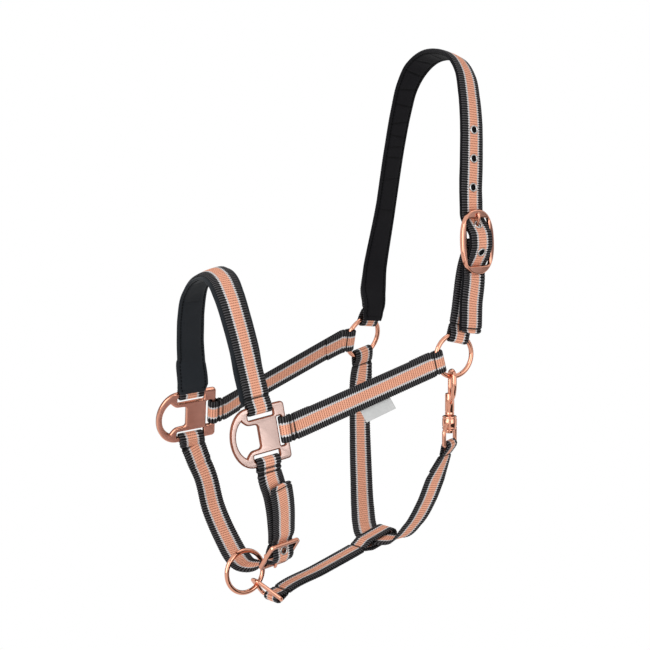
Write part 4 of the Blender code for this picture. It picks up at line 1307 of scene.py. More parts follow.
@cache
def webbing_paint():
    """Black, grey and rose stripes with serrated borders, over ribs with staggered yarns, with painted shade
    between the ribs and painted highlights on the black rib tops.
    """
    web = settings().webbing
    made, shader = paint("striped_webbing", tuple(web.rose), 0.7)
    shader.inputs["Specular IOR Level"].default_value = 0.12
    n = Nodes(made)
    along, across = n.weave()
    row = n.maths("DIVIDE", along, web.rib_pitch)
    rib = n.maths("COSINE", n.maths("MULTIPLY", row, 2 * math.pi))
    column = n.maths("MULTIPLY", across, 2 * math.pi * web.width / web.yarn_pitch)
    column = n.maths("MULTIPLY_ADD", n.maths("FLOOR", row), math.pi, column)
    yarn = n.maths("MULTIPLY_ADD", n.maths("COSINE", column), 0.5, 0.5)
    fuzz = n.noise(WEB_FUZZ, 2.0)
    # Painted shade in the grooves between the ribs, patchy along the yarns
    groove = n.maths("SUBTRACT", 1.0, n.step(rib, -0.35, 0.6))
    shadow = n.maths("MULTIPLY", groove, n.between(yarn, 0.35, 1.0))
    off_middle = n.maths("ABSOLUTE", n.maths("MULTIPLY_ADD", across, 2.0, -1.0))
    ragged = n.maths("MULTIPLY_ADD", rib, -STRIPE_TEETH, off_middle)
    ragged = n.maths("ADD", ragged, n.between(fuzz, -0.03, 0.03))
    inner = n.step(ragged, STRIPE_ROSE, STRIPE_SOFT)
    outer = n.step(ragged, STRIPE_GREY, STRIPE_SOFT)

    def striped(middle, thin):
        return n.mix(inner, (*middle, 1.0), (*thin, 1.0))
    bands = n.mix(shadow, striped(web.rose, web.grey), striped(web.rose_shaded, web.grey_shaded))
    # Wider painted shade in the grooves of the black edges, beside their painted rib-top highlights
    wide_groove_shade = n.maths("SUBTRACT", 1.0, n.step(rib, 0.2, 0.7))
    edges = n.mix(wide_groove_shade, (*web.black, 1.0), (*web.black_shaded, 1.0))
    shade = n.mix(outer, bands, edges)
    cloud = n.noise(WEB_CLOUD, 3.0)
    worn = n.maths("MULTIPLY", n.between(fuzz, 0.82, 1.16), n.between(cloud, 0.92, 1.08))
    # Random wear in the tone, darkened in the sewn rows as painted shade
    n.tint(shader, shade, n.maths("MULTIPLY", worn, n.between(n.fold(), 1.0, 0.3)))
    n.link(n.maths("MULTIPLY_ADD", outer, -0.2, n.between(fuzz, 0.66, 0.82)), shader.inputs["Roughness"])
    height = n.maths("SUBTRACT", n.between(fuzz, -0.3, 0.3), shadow)
    n.bump(height, WEB_DEPTH, shader, 0.7)
    return made


def lining_paint(name, base, sheen, gloss):
    """Soft black lining with a close nap."""
    made, shader = paint(name, base, 0.86)
    shader.inputs["Sheen Weight"].default_value = sheen
    shader.inputs["Sheen Roughness"].default_value = 0.5
    shader.inputs["Specular IOR Level"].default_value = gloss
    n = Nodes(made)
    nap = n.noise(NAP, 3.0)
    cloud = n.noise(NAP_CLOUD, 3.0)
    tone = n.maths("MULTIPLY", n.between(nap, 0.5, 1.5), n.between(cloud, 0.80, 1.20))
    # Random nap in the tone, darkened in the creases as painted shade
    n.tint(shader, base, n.maths("MULTIPLY", tone, n.between(n.fold(), 1.0, 0.25)))
    n.link(n.between(nap, 0.76, 0.94), shader.inputs["Roughness"])
    n.bump(nap, NAP_DEPTH, shader, 0.5)
    return made


@cache
def metal(finish):
    """Plated metal with faint wear in its gloss."""
    name, least, most, grain, depth, clouding = METALS[finish]
    base = tuple(getattr(settings().metals, finish))
    made, shader = paint(name, base, least, 1.0)
    n = Nodes(made)
    wear = n.noise(grain, 4.0)
    cloud = n.noise(METAL_CLOUD, 2.0)
    n.tint(shader, base, n.between(cloud, 1 - clouding, 1 + clouding))
    n.link(n.between(wear, least, most), shader.inputs["Roughness"])
    n.bump(wear, depth, shader, 0.25)
    return made


@cache
def thread_paint(name, key, gloss):
    """Twisted sewing thread."""
    made, shader = paint(name, tuple(getattr(settings().trim, key)), 0.6)
    shader.inputs["Specular IOR Level"].default_value = gloss
    n = Nodes(made)
    fibre = n.noise(THREAD_FIBRE, 2.0)
    n.link(n.between(fibre, 0.45, 0.75), shader.inputs["Roughness"])
    n.bump(fibre, THREAD_DEPTH, shader, 0.5)
    return made


def tag_paint():
    """Plain grey woven tag with a fine square weave."""
    base = tuple(settings().trim.tag)
    made, shader = paint("woven_tag", base, 0.8)
    n = Nodes(made)
    turn = 2 * math.pi / TAG_WEAVE
    warp, weft = (n.maths("SINE", n.maths("MULTIPLY", way, turn)) for way in n.weave())
    weave = n.maths("MULTIPLY", warp, weft)
    cloud = n.noise(TAG_CLOUD)
    tone = n.maths("MULTIPLY", n.between(weave, 0.96, 1.03), n.between(cloud, 0.93, 1.06))
    n.tint(shader, base, tone)
    n.link(n.between(n.noise(TAG_FUZZ), 0.7, 0.9), shader.inputs["Roughness"])
    n.bump(weave, TAG_DEPTH, shader, 0.5)
    return made


def floor_paint():
    """White floor that keeps the shadow."""
    made = bpy.data.materials.new("pale_floor")
    made.use_nodes = True
    made.node_tree.nodes.clear()
    n = Nodes(made)
    plain = n.add("ShaderNodeBsdfDiffuse")
    plain.inputs["Color"].default_value = (*FLOOR_GREY, 1)
    glow = n.add("ShaderNodeEmission")
    glow.inputs["Strength"].default_value = 1.0
    spot = n.add("ShaderNodeVectorMath", operation="LENGTH")
    n.link(n.add("ShaderNodeTexCoord").outputs["Object"], spot.inputs[0])
    far = n.step(spot.outputs["Value"], FLOOR_FADE, FLOOR_FADE / 2)
    mix = n.add("ShaderNodeMixShader")
    n.link(n.maths("MULTIPLY", seen_ray(n), n.between(far, FLOOR_WHITE, 1.0)), mix.inputs[0])
    n.link(plain.outputs[0], mix.inputs[1])
    n.link(glow.outputs[0], mix.inputs[2])
    n.link(mix.outputs[0], n.add("ShaderNodeOutputMaterial").inputs["Surface"])
    return made


def seen_ray(n):
    """1 for a ray from the camera, or one that metal or glass sends on."""
    path = n.add("ShaderNodeLightPath")
    seen = n.maths("MAXIMUM", path.outputs["Is Camera Ray"], path.outputs["Is Glossy Ray"])
    return n.maths("MAXIMUM", seen, path.outputs["Is Transmission Ray"])


@cache
def card_paint():
    """Dark studio card that only metal sees."""
    return paint("studio_card", CARD_GREY, 0.9)[0]


def studio_world():
    """White to the eye and in metal, and a softer even light on everything."""
    world = bpy.data.worlds.new("studio")
    world.use_nodes = True
    n = Nodes(world)
    back = world.node_tree.nodes["Background"]
    back.inputs["Color"].default_value = (1, 1, 1, 1)
    n.link(n.between(seen_ray(n), AMBIENT, 1.0), back.inputs["Strength"])
    return world


# Soft linings and the tag


def pad_mesh(name, sweep, thick, bow, creases):
    """A soft lining: close under the web, crowned below, with a sewn channel inside each edge."""
    spread = np.sin(np.linspace(-np.pi / 2, np.pi / 2, PAD_COLUMNS))
    wide = np.concatenate((spread, spread[-2:0:-1]))
    face = np.concatenate((-np.ones(PAD_COLUMNS), np.ones(PAD_COLUMNS - 2)))
    inset = 1 - PAD_SEAM / np.mean(sweep.half)
    rim = np.sqrt(np.clip(1 - np.abs(wide) ** PAD_RIM, 0, 1))
    under = -thick / 2 + PAD_CURVE * thick * wide ** 4
    channel = PAD_CHANNEL * np.exp(-((np.abs(wide) - inset) / PAD_CHANNEL_WIDE) ** 2)
    over = thick / 2 + PAD_GAP - PAD_TOUCH - bow * wide ** 2
    middle = (under + over) / 2
    section = np.where(face < 0, under + channel, over)
    section = middle + (section - middle) * rim
    high = np.tile(section, (len(sweep.s), 1))
    below = np.where(face < 0, 1.0, 0.0) * (1 - wide ** 2)
    # Each crease both dents the lining and paints shade in it
    folds = np.zeros_like(high)
    for mark, depth, slant in creases:
        ridge = np.exp(-((sweep.s[:, None] - mark - slant * wide) / PAD_CREASE) ** 2)
        folds += depth * ridge * below
    high += folds
    swell = sum(rise * np.sin(sweep.s / wave + start) for rise, wave, start in PAD_SWELLS)
    high += swell[:, None] * below
    across = sweep.half[:, None] * wide
    mesh = tube_mesh(name, sweep.surface(across, high), sweep.s, (wide + 1) / 2)
    mark_fold_shade(mesh, folds.ravel())
    return mesh


def lining(name, route, node, finish, thick, bow, creases, cutters=()):
    sweep = Sweep(route, PAD_STEP)
    thing = place(name, pad_mesh(name, sweep, thick, bow, creases), finish, "straps", [node])
    if cutters:
        combine(thing, cutters, "DIFFERENCE")
        even(thing.data)
    ends = (PAD_SEAM, sweep.s[-1] - PAD_SEAM)
    under = -thick / 2 + PAD_SEAM_HIGH * thick
    seams = long_row(sweep, *ends, PAD_SEAM, under) + long_row(sweep, *ends, -PAD_SEAM, under)
    for end in ends:
        seams += cross_row(sweep, end, under, PAD_SEAM)
    sew(name + "_seams", seams, SEAM_THREAD)


def woven_tag():
    """Small plain tag sewn behind the near cheek strap's lower edge."""
    back, up, out = NEAR_RING_FRAME
    middle = NEAR_PLATE.lerp(NEAR_RING, TAG_ALONG) - up * TAG_DROP + out * TAG_OUT
    along, across = swung(back, up, TAG_TURN)
    _, across = swung(out, across, TAG_TILT)
    route = [(middle + along * (end * TAG_LONG / 2), across, TAG_WIDE / 2) for end in (-1, 1)]
    sweep = Sweep(route, TAG_STEP)
    spread = np.linspace(-1, 1, TAG_COLUMNS)
    wide = np.concatenate((spread, spread[::-1]))
    face = np.repeat((-1.0, 1.0), TAG_COLUMNS)
    rim = np.where(np.abs(wide) == 1, TAG_RIM, 1.0)
    waves, start, rise = TAG_CURL
    curl = np.outer(np.sin(sweep.s / TAG_LONG * np.pi * waves + start), (1 - wide) ** 2 * rise)
    points = sweep.surface(sweep.half[:, None] * wide, face * rim * TAG_THICK / 2 + curl)
    mesh = tube_mesh("plain_tag", points, sweep.s, wide * TAG_WIDE * MM / 2)
    place("plain_tag", mesh, tag_paint(), "straps", ["woven_tag"])


# Metal pieces


def framed(origin, x, y, z):
    turn = Matrix((x, y, z)).transposed().to_4x4()
    turn.translation = origin * MM
    return turn


def curve_mesh(curve):
    holder = linked("holder", curve)
    mesh = baked(holder)
    bpy.data.objects.remove(holder)
    return even(mesh)


def wire_mesh(points, radius, cyclic=False, tip=()):
    """A round wire through the points; tip scales its radius at the last of them."""
    curve = bpy.data.curves.new("wire", "CURVE")
    curve.dimensions = "3D"
    curve.bevel_depth = radius * MM
    curve.bevel_resolution = WIRE_ROUND
    curve.use_fill_caps = True
    spline = curve.splines.new("POLY")
    spline.points.add(len(points) - 1)
    scales = [1.0] * (len(points) - len(tip)) + list(tip)
    for slot, point, scale in zip(spline.points, points, scales):
        slot.co = (*(point * MM), 1.0)
        slot.radius = scale
    spline.use_cyclic_u = cyclic
    return curve_mesh(curve)


def flat_mesh(outlines, thick, edge, inset=0.0):
    """A flat casting with rounded edges, from an outline and its openings, or inset from them."""
    curve = bpy.data.curves.new("outline", "CURVE")
    curve.dimensions = "2D"
    curve.fill_mode = "BOTH"
    curve.extrude = (thick / 2 - edge) * MM
    curve.bevel_depth = edge * MM
    curve.bevel_resolution = EDGE_ROUND
    curve.offset = -(edge + inset) * MM
    for outline in outlines:
        spline = curve.splines.new("POLY")
        spline.points.add(len(outline) - 1)
        for slot, point in zip(spline.points, outline):
            slot.co = (point[0] * MM, point[1] * MM, 0.0, 1.0)
        spline.use_cyclic_u = True
    return curve_mesh(curve)


def box(left, low, right, high):
    """Corners of a box, from its lower left one round to its upper left one."""
    return [(left, low), (right, low), (right, high), (left, high)]


def rounded(corners, radius, steps=CORNER_STEPS):
    """Corner points with each corner swapped for an arc."""
    made = []
    count = len(corners)
    for i in range(count):
        here = Vector(corners[i])
        back = (Vector(corners[i - 1]) - here).normalized()
        on = (Vector(corners[(i + 1) % count]) - here).normalized()
        half = back.angle(on) / 2
        reach = radius / math.tan(half)
        middle = here + (back + on).normalized() * (radius / math.sin(half))
        start = here + back * reach - middle
        end = here + on * reach - middle
        for k in range(steps + 1):
            part = k / steps
            made.append(middle + (start * (1 - part) + end * part).normalized() * radius)
    return made


def flowing(points, pieces):
    """A smooth run through the points, each stretch cut into pieces."""
    ends = [points[0] * 2 - points[1], *points, points[-1] * 2 - points[-2]]
    made = []
    for a, b, c, d in zip(ends, ends[1:], ends[2:], ends[3:]):
        for k in range(pieces):
            t = k / pieces
            made.append(0.5 * (2 * b + (c - a) * t + (2 * a - 5 * b + 4 * c - d) * t * t
                               + (3 * b - a - 3 * c + d) * t ** 3))
    return made + [points[-1]]


def turned(section, sides, closed):
    """A piece turned round Z from its section: closed for a ring, open from axis to axis for a solid."""
    body = bmesh.new()
    loop = [body.verts.new((r * MM, 0.0, z * MM)) for r, z in section]
    edges = [body.edges.new(pair) for pair in zip(loop, loop[1:])]
    if closed:
        edges.append(body.edges.new((loop[-1], loop[0])))
    bmesh.ops.spin(body, geom=loop + edges, cent=(0, 0, 0), axis=(0, 0, 1), angle=2 * math.pi, steps=sides,
                   use_merge=True)
    return even(mesh_from(body, "turned"), TURNED_SHARP)


def fitting(name, mesh, at, finish, body, node):
    mesh.transform(at)
    return place(name, mesh, metal(finish), body, [node])


def worked(thing, at, joined, cut=(), sharp=CAST_SHARP):
    """A fitting with meshes joined to it and others then cut out of it, all made in the frame at hand."""
    for mesh in (*joined, *cut):
        mesh.transform(at)
    combine(thing, joined, "UNION")
    combine(thing, cut, "DIFFERENCE")
    even(thing.data, sharp)


def side_casting(name, centre, plate_frame, node):
    """Flat cast side plate: a D opening in front and three strap slots, its outer edges painted dark as a
    reflection and its inner face painted darker as shade.
    """
    back, up, out = plate_frame
    tail = [tuple(p) for p in rounded(box(*PLATE_TAIL), PLATE_TAIL_R)]
    outline = arc(PLATE_NOSE_AT, PLATE_NOSE, *PLATE_NOSE_TURN)
    outline += [p for p in tail if p[0] > PLATE_TAIL_FROM]
    horn = [tuple(p) for p in flowing([Vector(p) for p in PLATE_HORN], PLATE_HORN_STEPS)]
    bow = arc(PLATE_NOSE_AT, PLATE_BOW, *PLATE_BOW_TURN)
    opening = horn + bow + [(u, -v) for u, v in reversed(horn)]
    outlines = [outline, opening] + [rounded(box(*slot), PLATE_SLOT_R, SLOT_STEPS) for slot in PLATE_SLOTS]
    at = framed(centre, back, up, back.cross(up))
    side = 1 if back.cross(up).dot(out) > 0 else -1
    top = PLATE_T / 2
    step = top - PLATE_RAISE
    layers = []
    for low, high, edge, inset in ((-top, step, PLATE_ROUND, 0), (-PLATE_RAISE, step, PLATE_EDGE, 0),
                                   (step - PLATE_RAISE, top, PLATE_RIM_EDGE, PLATE_RIM)):
        layer = flat_mesh(outlines, high - low, edge, inset)
        layer.transform(at @ Matrix.Translation((0, 0, side * (low + high) / 2 * MM)))
        layers.append(layer)
    thing = fitting(name, layers[0], Matrix(), "edge", "straps", node)
    worked(thing, Matrix(), layers[1:])
    coat(thing.data, *(metal(finish) for finish in ("edge", "satin", "inner", "polished")))
    # Outer edges take the dark edge paint, a painted reflection; inner faces take the darker inner paint,
    # painted shade
    for patch in thing.data.polygons:
        outwards = patch.normal.dot(out)
        high = (patch.center / MM - centre).dot(out)
        if outwards < -PLATE_SIDEWAYS:
            patch.material_index = 2 if outwards < -PLATE_FLAT else 3
        else:
            patch.material_index = 1 if high > top - PLATE_SATIN_DEEP else 0


def ring_wire(name, centre, normal, body, node):
    bpy.ops.mesh.primitive_torus_add(major_segments=RING_SEGMENTS, minor_segments=RING_SIDES,
                                     major_radius=RING_R * MM, minor_radius=RING_WIRE * MM)
    blank = bpy.context.object
    mesh = blank.data
    bpy.data.objects.remove(blank)
    mesh.shade_smooth()
    turn = normal.to_track_quat("Z", "Y").to_matrix().to_4x4()
    turn.translation = centre * MM
    fitting(name, mesh, turn, "polished", body, node)


def jaw_link():
    along = (JAW_BAR - CHIN_RING).normalized()
    reach = (JAW_BAR - CHIN_RING).length - (RING_R - RING_WIRE - LINK_R - LINK_PLAY)
    loop = rounded([(-LINK_FRONT_HALF, -reach), (LINK_FRONT_HALF, -reach), (LINK_BAR_HALF, 0),
                    (-LINK_BAR_HALF, 0)], LINK_CORNER, LINK_STEPS)
    mesh = wire_mesh([X * p[0] + Y * p[1] for p in loop], LINK_R, True)
    at = framed(JAW_BAR, X, along, X.cross(along))
    fitting("jaw_link_wire", mesh, at, "polished", "link", "jaw_link")


def buckle_casting(name, centre, axes, outer, opening, deep, edge, body, node):
    """Cast buckle frame with rounded edges and a round bar set to its rear; its flat faces are painted
    darker as a dark reflection.
    """
    across, up, out = axes
    at = framed(centre - out * BUCKLE_BAR_DROP, across, up, out)
    mesh = flat_mesh([outer, opening], BUCKLE_T + deep, edge)
    mesh.transform(Matrix.Translation((0.0, 0.0, (BUCKLE_BAR_DROP - deep / 2) * MM)))
    thing = fitting(name, mesh, at, "polished", body, node)
    reach = max(p[0] for p in opening) + BUCKLE_BAR_IN
    worked(thing, at, [cylinder(BUCKLE_BAR_R, X * -reach, X * reach, SIDES["bar"])])
    coat(thing.data, metal("polished"), metal("face"))
    # Flat faces facing out take the darker face paint: a painted dark reflection
    for patch in thing.data.polygons:
        patch.material_index = 1 if patch.normal.dot(out) > BUCKLE_FLAT else 0


def tongue_wire(name, centre, axes, sign, hole, tip, body, node):
    """Wire tongue: an eye round the bar, then the shank through the eyelet to rest on the frame."""
    across, up, out = axes
    turn = BUCKLE_BAR_R + GAP + TONGUE_R
    eye = [Vector((0.0, sign * v, high))
           for high, v in arc((0, 0), (turn, turn), -TONGUE_EYE, TONGUE_EYE, TONGUE_EYE_STEPS)]
    middle, along, _ = hole
    along = along if along.dot(out) > 0 else -along
    through = (up * (sign * along.dot(out)) + out * abs(along.dot(up)) + up * sign).normalized()
    shank = [eye[-1]]
    for reach in (-TONGUE_THROUGH, TONGUE_THROUGH):
        point = middle + through * reach - centre
        shank.append(Vector((0.0, point.dot(up), point.dot(out) + BUCKLE_BAR_DROP)))
    shank += [Vector((0.0, sign * v, high + BUCKLE_BAR_DROP)) for v, high in tip]
    points = eye[:-1] + flowing(shank, SHANK_STEPS)
    mesh = wire_mesh(points, TONGUE_R, False, TONGUE_TIP)
    start, end = (sign * points[k].y for k in TONGUE_FLARE_SPAN)
    for corner in mesh.vertices:
        corner.co.x *= 1 + TONGUE_FLARE * ease(sign * corner.co.y / MM, start, end)
    at = framed(centre - out * BUCKLE_BAR_DROP, across, up, out)
    fitting(name, mesh, at, "polished", body, node)


def eyelet_ring(name, hole, outward, node):
    """Rolled eyelet: a domed rim over the web, a tube through it and a flat washer behind."""
    point, along, across = hole
    normal = along.cross(across) * outward
    top = web_thick() / 2 + EYELET_ROOM
    low = -top - WASHER_T
    middle = (EYELET_RIM + EYELET_HOLE) / 2
    reach = (EYELET_RIM - EYELET_HOLE) / 2
    section = [(EYELET_TUBE, top)]
    section += arc((middle, top), (reach, EYELET_DOME), 0, 180, EYELET_DOME_STEPS)
    section += [(EYELET_HOLE, low + WASHER_EDGE), (EYELET_HOLE + WASHER_EDGE, low),
                (EYELET_RIM - WASHER_EDGE, low), (EYELET_RIM, low + WASHER_LIP), (EYELET_RIM, -top),
                (EYELET_TUBE, -top)]
    at = framed(point, across, normal.cross(across), normal)
    fitting(name, turned(section, SIDES["eyelet"], True), at, "nickel", "straps", node)


def upright(points):
    """Points in the snap's middle plane."""
    return [Vector((x, 0, z)) for x, z in points]


def bored(radius, low, high, sides):
    """A cutter for a hole along the snap's axis."""
    return cylinder(radius, Z * low, Z * high, sides)


def snap_frame():
    return Matrix.Translation(SNAP_TOP * MM) @ Matrix.Rotation(math.radians(SNAP_TURN), 4, "Z")


def snap_hook():
    """Bored barrel with a thumb slot, a hooked arm and a turned head."""
    at = snap_frame()
    barrel = turned(SNAP_BARREL, SIDES["barrel"], False)
    thing = fitting("snap_hook_casting", barrel, at, "polished", "hook", "snap_hook")
    bend = upright(arc(SNAP_BEND, SNAP_BEND_R, 0, 180, BEND_STEPS))
    arm = flowing(upright(SNAP_ARM), SNAP_ARM_STEPS)[:-1] + bend
    body = bmesh.new()
    size = Matrix.Diagonal((*(Vector(SNAP_SLOT) * MM), 1.0))
    bmesh.ops.create_cube(body, size=1.0, matrix=Matrix.Translation(SNAP_SLOT_AT * MM) @ size)
    head = turned(SNAP_HEAD, SIDES["head"], False)
    worked(thing, at, (wire_mesh(arm, SNAP_ARM_R, False, SNAP_ARM_TIP), head),
           (bored(*SNAP_BORE), mesh_from(body, "slot")), SNAP_SHARP)


def snap_bolt():
    """Sliding bolt with its thumb pin."""
    at = snap_frame()
    rod = turned(BOLT_ROD, SIDES["rod"], False)
    thing = fitting("snap_bolt_rod", rod, at, "polished", "bolt", "snap_bolt")
    knob = turned(BOLT_KNOB, SIDES["knob"], False)
    knob.transform(framed(BOLT_KNOB_AT, Y, Z, -X))
    pin = cylinder(BOLT_PIN_R, *upright(BOLT_PIN), SIDES["pin"])
    worked(thing, at, (pin, knob), (), SNAP_SHARP)


def snap_eye():
    """Swivel eye: a turned collar with a squared bail for the throat strap."""
    at = framed(SNAP_TOP, EYE_AXIS, Z.cross(EYE_AXIS), Z)
    collar = turned(EYE_COLLAR, SIDES["collar"], True)
    thing = fitting("snap_eye_casting", collar, at, "polished", "straps", "snap_eye")
    corners = rounded([(-x, z) for x, z in reversed(EYE_BAIL)] + list(EYE_BAIL), EYE_BAIL_R)
    skip = CORNER_STEPS + 1
    x, z = EYE_BAIL_END
    bail = upright([(-x, z), *corners[skip:-skip], (x, z)])
    worked(thing, at, [wire_mesh(bail, EYE_WIRE)], [bored(*EYE_BORE)], SNAP_SHARP)


def snap_coil():
    """Return spring in the barrel, which the bolt presses flat."""
    steps = SPRING_TURNS * SPRING_SIDES
    coil = []
    for k in range(steps + 1):
        angle = 2 * math.pi * k / SPRING_SIDES
        low = SPRING_TOP + SPRING_LONG * k / steps
        coil.append(Vector((SPRING_R * math.cos(angle), SPRING_R * math.sin(angle), -low)))
    spring = fitting("snap_coil_spring", wire_mesh(coil, SPRING_WIRE), snap_frame(), "steel", "hook",
                     "snap_spring")
    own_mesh(spring)


# Operators


class HEADCOLLAR_OT_stage(bpy.types.Operator):
    """Floor, studio light and the camera at the photograph's angle"""
    bl_idname = "headcollar.stage"
    bl_label = "Stage"

    def execute(self, context):
        scene = context.scene
        scene.view_settings.view_transform = "Standard"
        bpy.ops.mesh.primitive_plane_add(size=FLOOR_SIZE, location=(0, 0, CAD_LOW.z - FLOOR_DROP))
        floor = context.object
        floor.name = "floor"
        floor.data.materials.append(floor_paint())
        scene.world = studio_world()
        aim = VIEW_TARGET * MM
        for name, place_at, size, power in LAMPS:
            light = bpy.data.lights.new(name, "AREA")
            light.energy = power
            light.size = size
            lamp = linked(name, light)
            lamp.location = place_at
            lamp.rotation_euler = (aim - lamp.location).to_track_quat("-Z", "Y").to_euler()
        for name, place_at, size in CARDS:
            bpy.ops.mesh.primitive_plane_add(size=1.0, location=place_at)
            card = context.object
            card.name = name
            card.scale = (*size, 1.0)
            card.rotation_euler = (aim - card.location).to_track_quat("Z", "Y").to_euler()
            card.data.materials.append(card_paint())
            card.visible_camera = False
            card.visible_diffuse = False
            card.visible_shadow = False
        data = bpy.data.cameras.new("camera")
        data.sensor_width = SENSOR
        data.lens = data.sensor_width * VIEW_DISTANCE / VIEW_WIDTH
        data.clip_end = CLIP_END
        camera = linked("camera", data)
        turn, rise = math.radians(VIEW_AZIMUTH), math.radians(VIEW_ELEVATION)
        back = Vector((math.sin(turn) * math.cos(rise), -math.cos(turn) * math.cos(rise), math.sin(rise)))
        camera.location = (VIEW_TARGET + back * VIEW_DISTANCE) * MM
        camera.rotation_euler = back.to_track_quat("Z", "Y").to_euler()
        scene.camera = camera
        return {"FINISHED"}


class HEADCOLLAR_OT_crown(bpy.types.Operator):
    """Crown strap with its lining, and the short strap below its buckle"""
    bl_idname = "headcollar.crown"
    bl_label = "Crown"

    def execute(self, context):
        pads = settings().pads
        strap, places, hit = crown_route()
        row = strap.begin + ROW_IN
        tail = strap.finish - TAIL_ROW

        def bow(s):
            open_run = s - strap.begin
            return CROWN_BOW * ease(open_run, *BOW_IN) * (1 - ease(open_run - hit, *CROWN_BOW_OUT))
        sweep = webbing("crown_webbing", strap, "crown_strap", (row, tail), (LAID_END, FREE_END), bow,
                        places)
        sew("crown_stitching", cross_row(sweep, row, ROW_HIGH) + cross_row(sweep, tail, ROW_HIGH))

        thick = in_mm(pads.crown_thickness)

        def depth(s):
            return pad_depth(s, thick, RING_WIRE, RING_SLACK, RING_STITCH)

        def half(s):
            wide = in_mm(pads.crown_width) / 2 - CROWN_END_IN * (1 - ease(s, 0, PAD_END))
            narrowed = ease(s - PAD_OVER - hit, *CROWN_NARROWS)
            return wide + (in_mm(pads.crown_tail_width) / 2 - wide) * narrowed
        _, off_dir = ring_end(OFF_RING, OFF_RING_FRAME, CROWN_AT_RING)
        path = Path(over_fold(strap.line.route[0], off_dir) + strap.line.route)
        layer = path.layer(0, path.length - CROWN_PAD_SHORT, depth, half, 1)
        point, along, across = places[CROWN_HELD]
        normal = along.cross(across)
        cutters = [cylinder(EYELET_RIM + EYELET_POCKET, point - normal * CUT_REACH,
                            point + normal * EYELET_POCKET_HIGH, SIDES["pocket"]),
                   cylinder(TONGUE_R + TONGUE_GROOVE, crown_stop(*TONGUE_GROOVE_FROM)[0], point,
                            SIDES["groove"])]
        # Darker than the nose pad: painted shade
        finish = lining_paint("crown_lining", tuple(pads.crown_black_shaded), CROWN_SHEEN, CROWN_GLOSS)
        lining("crown_lining_pad", layer, "crown_lining", finish, thick, CROWN_PAD_BOW, CROWN_CREASES,
               cutters)

        chape = crown_chape_route()
        sewn_web("crown_chape", chape, "crown_chape", chape.end_rows(), ends=(MET_END, MET_END),
                 slot_bar=(CROWN_BAR, CROWN_ACROSS))
        return {"FINISHED"}


class HEADCOLLAR_OT_noseband(bpy.types.Operator):
    """Noseband with its soft pad"""
    bl_idname = "headcollar.noseband"
    bl_label = "Noseband"

    def execute(self, context):
        pads = settings().pads
        strap = nose_route()
        mid = (strap.begin + strap.finish) / 2

        def bow(s):
            return NOSE_BOW * ease(mid - strap.begin - abs(s - mid), *BOW_IN)
        sewn_web("noseband", strap, "noseband_strap", strap.end_rows(), bow=bow)

        thick = in_mm(pads.nose_thickness)
        run = strap.line.route
        path = Path(over_fold(run[0], OFF_FRAME[1]) + run + over_fold(run[-1], NEAR_FRAME[1])[::-1])
        span = path.length

        def depth(s):
            return pad_depth(min(s, span - s), thick, BAR_R, 0, BAR_STITCH)

        def half(s):
            end = min(s, span - s) - NOSE_PAD_SHORT
            return in_mm(pads.nose_width) / 2 - NOSE_END_IN * (1 - ease(end, 0, PAD_END))
        layer = path.layer(NOSE_PAD_SHORT, span - NOSE_PAD_SHORT, depth, half, 1)
        finish = lining_paint("nose_lining", tuple(pads.nose_black), NOSE_SHEEN, NOSE_GLOSS)
        lining("noseband_soft_pad", layer, "noseband_pad", finish, thick, NOSE_PAD_BOW, NOSE_CREASES)
        return {"FINISHED"}


class HEADCOLLAR_OT_cheeks(bpy.types.Operator):
    """Both cheek straps and the woven tag under the near one"""
    bl_idname = "headcollar.cheeks"
    bl_label = "Cheek Straps"

    def execute(self, context):
        for side, plate, plate_frame, ring, ring_frame in (
                ("near", NEAR_PLATE, NEAR_FRAME, NEAR_RING, NEAR_RING_FRAME),
                ("off", OFF_PLATE, OFF_FRAME, OFF_RING, OFF_HOLD_FRAME)):
            strap = cheek_route(plate, plate_frame, ring, ring_frame)
            rows = (*(strap.begin + row for row in CHEEK_ROWS), strap.finish + CHEEK_RING_ROW)
            sewn_web(side + "_cheek", strap, side + "_cheek_strap", rows)
        woven_tag()
        return {"FINISHED"}


class HEADCOLLAR_OT_chin(bpy.types.Operator):
    """Chin strap and the short strap above its buckle"""
    bl_idname = "headcollar.chin"
    bl_label = "Chin Straps"

    def execute(self, context):
        strap, places = chin_route()
        rows = (strap.begin + ROW_IN, strap.finish - TAIL_ROW)
        sewn_web("chin", strap, "chin_strap", rows, ends=(LAID_END, FREE_END), holes=places, sway=CHIN_SWAY)
        chape = chin_chape_route()
        rows = (*(chape.begin + row for row in CHAPE_ROWS), chape.finish - ROW_IN)
        sewn_web("chin_chape", chape, "chin_chape", rows, ends=(MET_END, MET_END),
                 slot_bar=(CHIN_BAR, CHIN_ACROSS))
        return {"FINISHED"}


class HEADCOLLAR_OT_jaw(bpy.types.Operator):
    """Jaw strap and throat strap"""
    bl_idname = "headcollar.jaw"
    bl_label = "Jaw and Throat Straps"

    def execute(self, context):
        strap = jaw_route()
        sewn_web("jaw", strap, "jaw_strap", strap.end_rows(), ends=(MET_END, MET_END))
        strap = throat_route()
        sewn_web("throat", strap, "throat_strap", strap.end_rows())
        return {"FINISHED"}


class HEADCOLLAR_OT_plates(bpy.types.Operator):
    """Cast side plates"""
    bl_idname = "headcollar.plates"
    bl_label = "Side Plates"

    def execute(self, context):
        side_casting("near_side_casting", NEAR_PLATE, NEAR_FRAME, "near_side_plate")
        side_casting("off_side_casting", OFF_PLATE, OFF_FRAME, "off_side_plate")
        return {"FINISHED"}


class HEADCOLLAR_OT_rings(bpy.types.Operator):
    """Cheek rings, chin ring and the link to the jaw strap"""
    bl_idname = "headcollar.rings"
    bl_label = "Rings and Link"

    def execute(self, context):
        ring_wire("near_ring_wire", NEAR_RING, NEAR_RING_FRAME[2], "near_ring", "near_cheek_ring")
        ring_wire("off_ring_wire", OFF_RING, OFF_RING_FRAME[2], "off_ring", "off_cheek_ring")
        ring_wire("chin_ring_wire", CHIN_RING, X, "lead_ring", "chin_ring")
        jaw_link()
        return {"FINISHED"}


